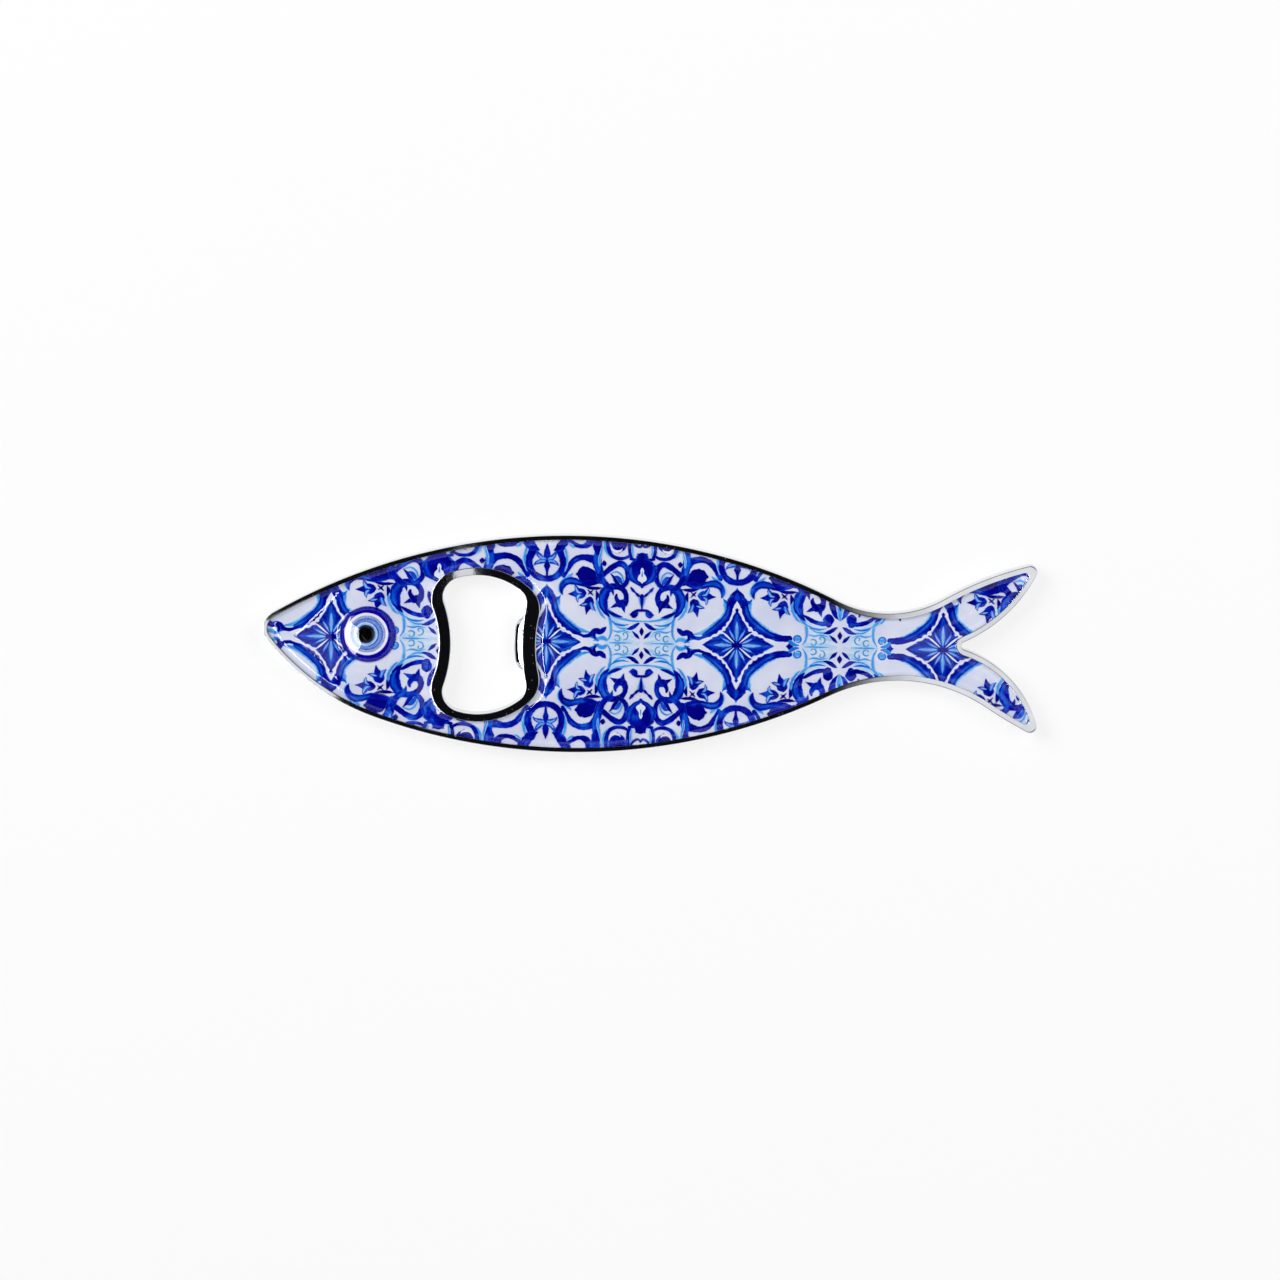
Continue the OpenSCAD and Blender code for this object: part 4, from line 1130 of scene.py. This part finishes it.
def nose_step(points):
    """The second pour's end: an even bevel along two lines at 45 degrees, fading before STEP_END_X."""
    gap = points - STEP_AT
    behind = np.min(np.stack([gap[:, 0] - gap[:, 1], gap[:, 0] + gap[:, 1]]), axis=0) * DIAGONAL
    drop = STEP_SLOPE * (np.clip(behind, -STEP_W / 2, STEP_W / 2) - STEP_W / 2)
    return drop * np.clip((STEP_END_X - points[:, 0]) / STEP_FADE, 0, 1)


def resin_height(points):
    """Height at flat points. Each flank (slope, start, run) rises evenly to start and runs out over run; the
    distance is the soft minimum, minus SOFT times the log of the sum of exp(-distance / SOFT)."""
    near = np.stack([border_distance(points, *border) for border in borders])
    distance = np.clip(-SOFT * np.log(np.exp(-near / SOFT).sum(0)), 0, None)
    height = RESIN_EDGE_Z
    for slope, start, run in RESIN_FLANKS:
        w = np.clip((distance - start) / run, 0, 1)
        height = height + slope * (np.minimum(distance, start) + run * (w - w ** 3 + w ** 4 / 2))
    from_eye = np.clip(np.linalg.norm(points - EYE, axis=1) - EYE_R, 0, None)
    return height + EYE_FILLET * np.exp(-from_eye / EYE_FILLET) + nose_step(points)


def height_of(points):
    """resin_height in portions, because each portion is compared with every border point."""
    portions = [points[i:i + POINT_CHUNK] for i in range(0, len(points), POINT_CHUNK)]
    return np.concatenate([resin_height(portion) for portion in portions])


print("resin height in the middle of the body:", np.round(height_of(np.array([[10.0, 0.0]])), 2))

# %% [markdown]
# The surface needs fine rows where it bends, along the borders, the eye and the V, and only a plain net in
# between. A Delaunay triangulation joins all these points, with the three border loops as fixed edges.

# %% Net of the resin
BORDER_ROWS, EYE_ROWS = (0.08, 0.2, 0.36, 0.6, 0.8, 0.95, 1.1, 1.25), (0.12, 0.3, 0.55, 0.9)
NET_X, NET_Y, NET_REACH, NET_HALF = 0.55, 0.48, 70, 20
STEP_RUN, STEP_ROW, STEP_HALF, STEP_LINES = 13, 0.2, 0.24, 9
EYE_FIT, EYE_POINTS, DELAUNAY_MERGE = 0.02, 120, 1e-5


def resin_points():
    """Loops of the border, the opening and the eye, and points between: close rows and a triangular net."""
    ring = circle(EYE_POINTS)
    loops = [face.at(rim_w + FIT), hole_rim.at(-FIT), EYE + (EYE_R - EYE_FIT) * ring]
    rows = [face.at(rim_w + d) for d in BORDER_ROWS] + [hole_rim.at(-d) for d in BORDER_ROWS]
    rows += [EYE + (EYE_R + d) * ring for d in EYE_ROWS]
    net_x, net_y = np.meshgrid(np.arange(-NET_REACH, NET_REACH, NET_X), np.arange(-NET_HALF, NET_HALF, NET_Y))
    net_x = net_x + NET_X / 2 * (np.arange(len(net_x)) % 2)[:, None]
    rows.append(np.stack([net_x, net_y], -1).reshape(-1, 2))
    run, off = np.meshgrid(np.arange(0, STEP_RUN, STEP_ROW), np.linspace(-STEP_HALF, STEP_HALF, STEP_LINES))
    for way in (1, -1):
        rows.append(STEP_AT + np.stack([run + off, way * (run - off)], -1).reshape(-1, 2) * DIAGONAL)
    net = np.concatenate(rows)
    return loops, net[between(net, loops)]


def resin_net():
    """The loops, and the flat points and triangles of the resin between them."""
    loops, net = resin_points()
    edges, start = [], 0
    for loop in loops:
        here = np.arange(len(loop))
        edges += np.stack([start + here, start + np.roll(here, -1)], 1).tolist()
        start += len(loop)
    corners = [Vector(point) for point in np.concatenate(loops + [net])]
    cut = geometry.delaunay_2d_cdt(corners, edges, [], 0, DELAUNAY_MERGE)
    flat, triangles = np.array([corner[:] for corner in cut[0]]), np.array(cut[2])
    used, triangles = np.unique(triangles[between(flat[triangles].mean(1), loops)], return_inverse=True)
    return loops, flat[used], triangles.reshape(-1, 3)


resin_loops, resin_flat, resin_triangles = resin_net()
print("resin triangles:", len(resin_triangles))

# %% [markdown]
# The triangles must not show in the reflections, so the normals aren't taken from them. They come from the
# height's own slope.

# %% Resin coat
SLOPE_STEP, FOOT_SLACK = 0.03, 0.01


def slope_normals(piece):
    """Sets normals (-slope in x, -slope in y, 1), by central differences; the foot looks down."""
    place = np.empty(3 * len(piece.data.vertices), np.float32)
    piece.data.vertices.foreach_get("co", place)
    place = place.reshape(-1, 3) / MM
    flat = place[:, :2].astype(float)
    sides = np.array([[SLOPE_STEP, 0], [0, SLOPE_STEP]])
    slope = np.stack([(height_of(flat + d) - height_of(flat - d)) / (2 * SLOPE_STEP) for d in sides], 1)
    normal = np.column_stack([-slope, np.ones(len(flat))])
    normal /= np.linalg.norm(normal, axis=1)[:, None]
    normal[place[:, 2] < RESIN_FOOT_Z + FOOT_SLACK] = (0, 0, -1)
    piece.data.normals_split_custom_set_from_vertices(normal.tolist())


resin_parts = [(lift(resin_flat, height_of(resin_flat)), resin_triangles),
               (lift(np.concatenate(resin_loops), RESIN_FOOT_Z), flat_fill(resin_loops))]
resin_parts += [upright(loop, RESIN_FOOT_Z, height_of(loop)) for loop in resin_loops]
resin = make_piece("resin_coat", resin_parts, resin_look)
closed_shell(resin)
bond_below(resin)
slope_normals(resin)
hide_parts("resin_coat")

# %% [markdown]
# The dome over the eye is flat in the middle, has an even flank and is round at its foot. A part of a sphere
# would be simpler, but its highlight is a small spot, where the real dome shows a broad fan of light on one
# side. So its height is the sum of its slopes from the foot inwards, turned about the eye's axis.

# %% Eye dome
FLANK_TILT, FOOT_TILT, DOME_LIFT, DOME_SHARP = 18.5, 72.0, 0.05, math.radians(60)
FOOT_R, FLANK_R, CROWN_R, CROWN_RUN = 4.0, 3.9, 0.7, 1.3
dome_r = np.concatenate([np.linspace(EYE_R, FOOT_R, 17), np.linspace(FLANK_R, CROWN_R, 17), [0.35, 0.03]])
mid_r = (dome_r[1:] + dome_r[:-1]) / 2
crown = np.clip((mid_r - CROWN_R) / CROWN_RUN, 0, 1)
foot = np.clip((mid_r - FOOT_R) / (EYE_R - FOOT_R), 0, 1)
dome_tilt = FLANK_TILT * crown * crown * (3 - 2 * crown) + (FOOT_TILT - FLANK_TILT) * foot ** 2
dome_rise = np.cumsum(-np.diff(dome_r) * np.tan(np.radians(dome_tilt)))
dome_z = EYE_Z + DOME_LIFT + np.concatenate([[0], dome_rise])
dome_rows = [lift(EYE + r * circle(EYE_POINTS), z) for r, z in zip(dome_r, dome_z)]
cap_face = [list(range(EYE_POINTS))]
dome_parts = [(np.concatenate(dome_rows), grid_faces(len(dome_r), EYE_POINTS)),
              (dome_rows[-1], cap_face), (dome_rows[0], cap_face)]
lens = make_piece("eye_dome", dome_parts, resin_look)
closed_shell(lens)
bond_below(lens)
lens.data.set_sharp_from_angle(angle=DOME_SHARP)
print("dome height:", round(float(dome_z[-1]), 2))
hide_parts("eye_lens")

# %% [markdown]
# Back and hidden layers
#
# The magnet is a strip of bonded ferrite, rolled and cut, and the glue layers are thin white films. Their
# shapes are plain on the real opener too, so the CAD nodes stay and only get their finishes.

# %% Magnet and glue
FERRITE_GRAIN, ROLL_LINES, GLUE_CLOUD = 0.4 * MM, 3.16 * MM, 3 * MM


def bonded_magnet():
    """Bonded ferrite, rolled to a strip: dark and matt, with fine grain and shallow lines along it. A wave
    texture repeats every pi / 10 over its scale."""
    material, tree = new_material("bonded ferrite strip")
    place = add(tree, "ShaderNodeTexCoord").outputs["Object"]
    grain = add(tree, "ShaderNodeTexNoise", {"Vector": place}, Scale=1 / FERRITE_GRAIN, Detail=4.0)
    stops = [(0.3, "#232427"), (0.7, "#393a3e")]
    tone = add(tree, "ShaderNodeValToRGB", {"Fac": grain.outputs["Fac"]}, stops)
    lines = add(tree, "ShaderNodeTexWave", {"Vector": place}, Scale=math.pi / 10 / ROLL_LINES, Distortion=1.5,
                wave_type="BANDS", bands_direction="Y")
    bump = add(tree, "ShaderNodeBump", {"Height": lines.outputs["Fac"]}, Strength=0.12, Distance=0.1 * MM)
    links = {"Base Color": tone.outputs["Color"], "Normal": bump.outputs["Normal"]}
    surface = add(tree, "ShaderNodeBsdfPrincipled", links, Roughness=0.62)
    add(tree, "ShaderNodeOutputMaterial", {"Surface": surface.outputs["BSDF"]})
    return material


def glue_film():
    """White acrylic adhesive, spread as a film: a soft warm white, a little cloudy."""
    material, tree = new_material("white acrylic adhesive")
    place = add(tree, "ShaderNodeTexCoord").outputs["Object"]
    cloud = add(tree, "ShaderNodeTexNoise", {"Vector": place}, Scale=1 / GLUE_CLOUD, Detail=3.0)
    stops = [(0.3, "#e2e0d8"), (0.7, "#efeee8")]
    tone = add(tree, "ShaderNodeValToRGB", {"Fac": cloud.outputs["Fac"]}, stops)
    surface = add(tree, "ShaderNodeBsdfPrincipled", {"Base Color": tone.outputs["Color"]}, Roughness=0.55)
    add(tree, "ShaderNodeOutputMaterial", {"Surface": surface.outputs["BSDF"]})
    return material


glue, magnet = glue_film(), bonded_magnet()
for node, material in (("print_adhesive", glue), ("magnet_glue", glue), ("back_magnet", magnet)):
    piece = frame["nodes"][node]
    piece.data.materials.clear()
    piece.data.materials.append(material)
    print(node, "->", material.name)

# %% [markdown]
# Studio
#
# The opener lies on a white floor in a white room. Pouring light on it until the floor is white would wash
# out the print, so the floor and the room show themselves white to the camera, to mirrors and through clear
# pieces, and light the object only softly. The floor still takes the shadow.

# %% Floor and room
FLOOR_HALF, FLOOR_Z, FLOOR_GLOW = 3.0, -0.2 * MM, 0.72
ROOM_LIGHT, ROOM_SEEN = 0.42, 1.0


def room_rays(tree):
    """1 for a ray that shows the room, from the camera, a mirror or through a clear piece, and else 0."""
    path = add(tree, "ShaderNodeLightPath").outputs
    seen = path["Is Camera Ray"]
    for ray in ("Is Glossy Ray", "Is Transmission Ray"):
        seen = add(tree, "ShaderNodeMath", {0: seen, 1: path[ray]}, operation="MAXIMUM").outputs["Value"]
    return seen


def white_floor():
    """Matt white paper that glows a little for the rays that show the room, and still takes the shadow."""
    material, tree = new_material("white studio floor")
    paper = add(tree, "ShaderNodeBsdfDiffuse", Color=rgb("#f6f6f6"))
    glow = add(tree, "ShaderNodeEmission", Strength=1.0)
    share = add(tree, "ShaderNodeMath", {0: room_rays(tree), 1: FLOOR_GLOW}, operation="MULTIPLY")
    both = add(tree, "ShaderNodeMixShader",
               {0: share.outputs["Value"], 1: paper.outputs["BSDF"], 2: glow.outputs["Emission"]})
    add(tree, "ShaderNodeOutputMaterial", {"Surface": both.outputs["Shader"]})
    return material


def stage_quad(name, x0, x1, y0, y1, z, material):
    """A level rectangle of the studio, in metres."""
    mesh = bpy.data.meshes.new(name)
    mesh.from_pydata([(x0, y0, z), (x1, y0, z), (x1, y1, z), (x0, y1, z)], [], [(0, 1, 2, 3)])
    mesh.materials.append(material)
    quad = bpy.data.objects.new(name, mesh)
    bpy.context.scene.collection.objects.link(quad)
    return quad


stage_quad("floor", -FLOOR_HALF, FLOOR_HALF, -FLOOR_HALF, FLOOR_HALF, FLOOR_Z, white_floor())
scene = bpy.context.scene
scene.view_settings.view_transform = "Standard"
world = bpy.data.worlds.new("studio")
scene.world = world
world.use_nodes = True
room = world.node_tree
room.nodes.clear()
soft_room = add(room, "ShaderNodeBackground", Color=rgb("#ffffff"), Strength=ROOM_LIGHT)
white_room = add(room, "ShaderNodeBackground", Color=rgb("#ffffff"), Strength=ROOM_SEEN)
room_mix = add(room, "ShaderNodeMixShader", {0: room_rays(room), 1: soft_room.outputs["Background"],
                                             2: white_room.outputs["Background"]})
add(room, "ShaderNodeOutputWorld", {"Surface": room_mix.outputs["Shader"]})
print("room light:", ROOM_LIGHT)

# %% [markdown]
# Chrome shows only what it mirrors, and in a white room it would be white. Black cards above the camera give
# it something dark, as a product photographer's flags do, and two small white cards under them put a
# highlight on the nose and on the opening's rim. The cards are seen in mirrors only.

# %% Cards
CARD_Z, CARD_END, CARD_FADE, CARD_FAR = 1.3, 0.11, 0.04, 0.9
CARD_LAP, WHITE_CARD_Z = 0.05, CARD_Z - 0.01


def black_card(name, end):
    """Black card that thins out over the last centimetres before end, so that its edge mirrors softly."""
    material, tree = new_material(name)
    place = add(tree, "ShaderNodeTexCoord").outputs["Object"]
    part = add(tree, "ShaderNodeSeparateXYZ", {"Vector": place})
    solid = add(tree, "ShaderNodeMapRange", {"Value": part.outputs["X"]}, interpolation_type="SMOOTHSTEP",
                From_Min=end, From_Max=end - CARD_FADE)
    black = add(tree, "ShaderNodeBsdfDiffuse", Color=rgb("#161618"))
    clear = add(tree, "ShaderNodeBsdfTransparent")
    both = add(tree, "ShaderNodeMixShader",
               {0: solid.outputs["Result"], 1: clear.outputs["BSDF"], 2: black.outputs["BSDF"]})
    add(tree, "ShaderNodeOutputMaterial", {"Surface": both.outputs["Shader"]})
    return material


def white_card(name):
    """White card, as bright as the room is seen."""
    material, tree = new_material(name)
    glow = add(tree, "ShaderNodeEmission", Strength=ROOM_SEEN)
    add(tree, "ShaderNodeOutputMaterial", {"Surface": glow.outputs["Emission"]})
    return material


card_white = white_card("white card")
overhead, upper, lower = [black_card(name, end) for name, end in (
    ("overhead card", CARD_END), ("upper card", CARD_FAR), ("lower card", CARD_FAR))]
cards = [
    stage_quad("overhead_card", -2.2, CARD_END, -1.6, 1.9, CARD_Z, overhead),
    stage_quad("upper_card", CARD_END - CARD_LAP, CARD_FAR, -0.05, 1.9, CARD_Z, upper),
    stage_quad("lower_card", CARD_END - CARD_LAP, CARD_FAR, -1.6, -0.28, CARD_Z, lower),
    stage_quad("nose_card", -0.2, -0.114, -0.27, -0.15, WHITE_CARD_Z, card_white),
    stage_quad("rim_card", -0.0695, -0.0622, -0.142, -0.124, WHITE_CARD_Z, card_white),
]
for card in cards:
    card.visible_camera = card.visible_diffuse = card.visible_shadow = False
print("cards:", [card.name for card in cards])

# %% [markdown]
# Three area lamps stand for the studio's softboxes. The strip on the left is only mirrored, and draws the
# bright line along the resin's edge. The other two light the object and aren't mirrored, so they leave no
# squares on the chrome.

# %% Lamps
def softbox(name, place, target, size, power):
    """An area lamp of a size in metres and a power in watts, turned from its place to the target."""
    lamp = bpy.data.lights.new(name, "AREA")
    lamp.shape, lamp.size, lamp.size_y, lamp.energy = "RECTANGLE", size[0], size[1], power
    holder = bpy.data.objects.new(name, lamp)
    holder.location = place
    holder.rotation_euler = (Vector(target) - Vector(place)).to_track_quat("-Z", "Y").to_euler()
    scene.collection.objects.link(holder)
    print(name, power, "W")
    return holder


softbox("left_strip", (-0.78, -0.11, 0.9), (-0.05, 0, 0), (1.8, 0.34), 36.0).visible_diffuse = False
softbox("left_softbox", (-0.6, 0.45, 0.8), (0, 0, 0), (0.6, 0.6), 6.0).visible_glossy = False
softbox("right_fill", (0.7, 0.35, 0.9), (0, 0, 0), (0.5, 0.5), 4.6).visible_glossy = False

# %% [markdown]
# The camera looks down on the face, tilted a little, as in the photograph. The frame's width at the face and
# the distance give the focal length, because both are in the same proportion as the sensor and the lens.

# %% Camera
SIGHT, FRAME_W, SENSOR_W = 1.2, 0.2309, 36.0
LEAN, TILT = math.radians(0.62), math.radians(7.0)
aim = Vector((-1.9, 0.88, 4.2)) * MM
right = Vector((math.cos(LEAN), math.sin(LEAN), 0))
up = Vector((-math.sin(LEAN), math.cos(LEAN), 0))
back = Vector((0, 0, math.cos(TILT))) + up * math.sin(TILT)
over = back.cross(right)
camera_data = bpy.data.cameras.new("camera")
camera_data.sensor_width = SENSOR_W
camera_data.lens = SENSOR_W * SIGHT / FRAME_W
camera_data.clip_start, camera_data.clip_end = 0.05, 20
camera = bpy.data.objects.new("camera", camera_data)
turn = Matrix((right, over, back)).transposed().to_4x4()
camera.matrix_world = Matrix.Translation(aim + back * SIGHT) @ turn
scene.collection.objects.link(camera)
scene.camera = camera
print("focal length:", round(camera_data.lens, 1), "mm")
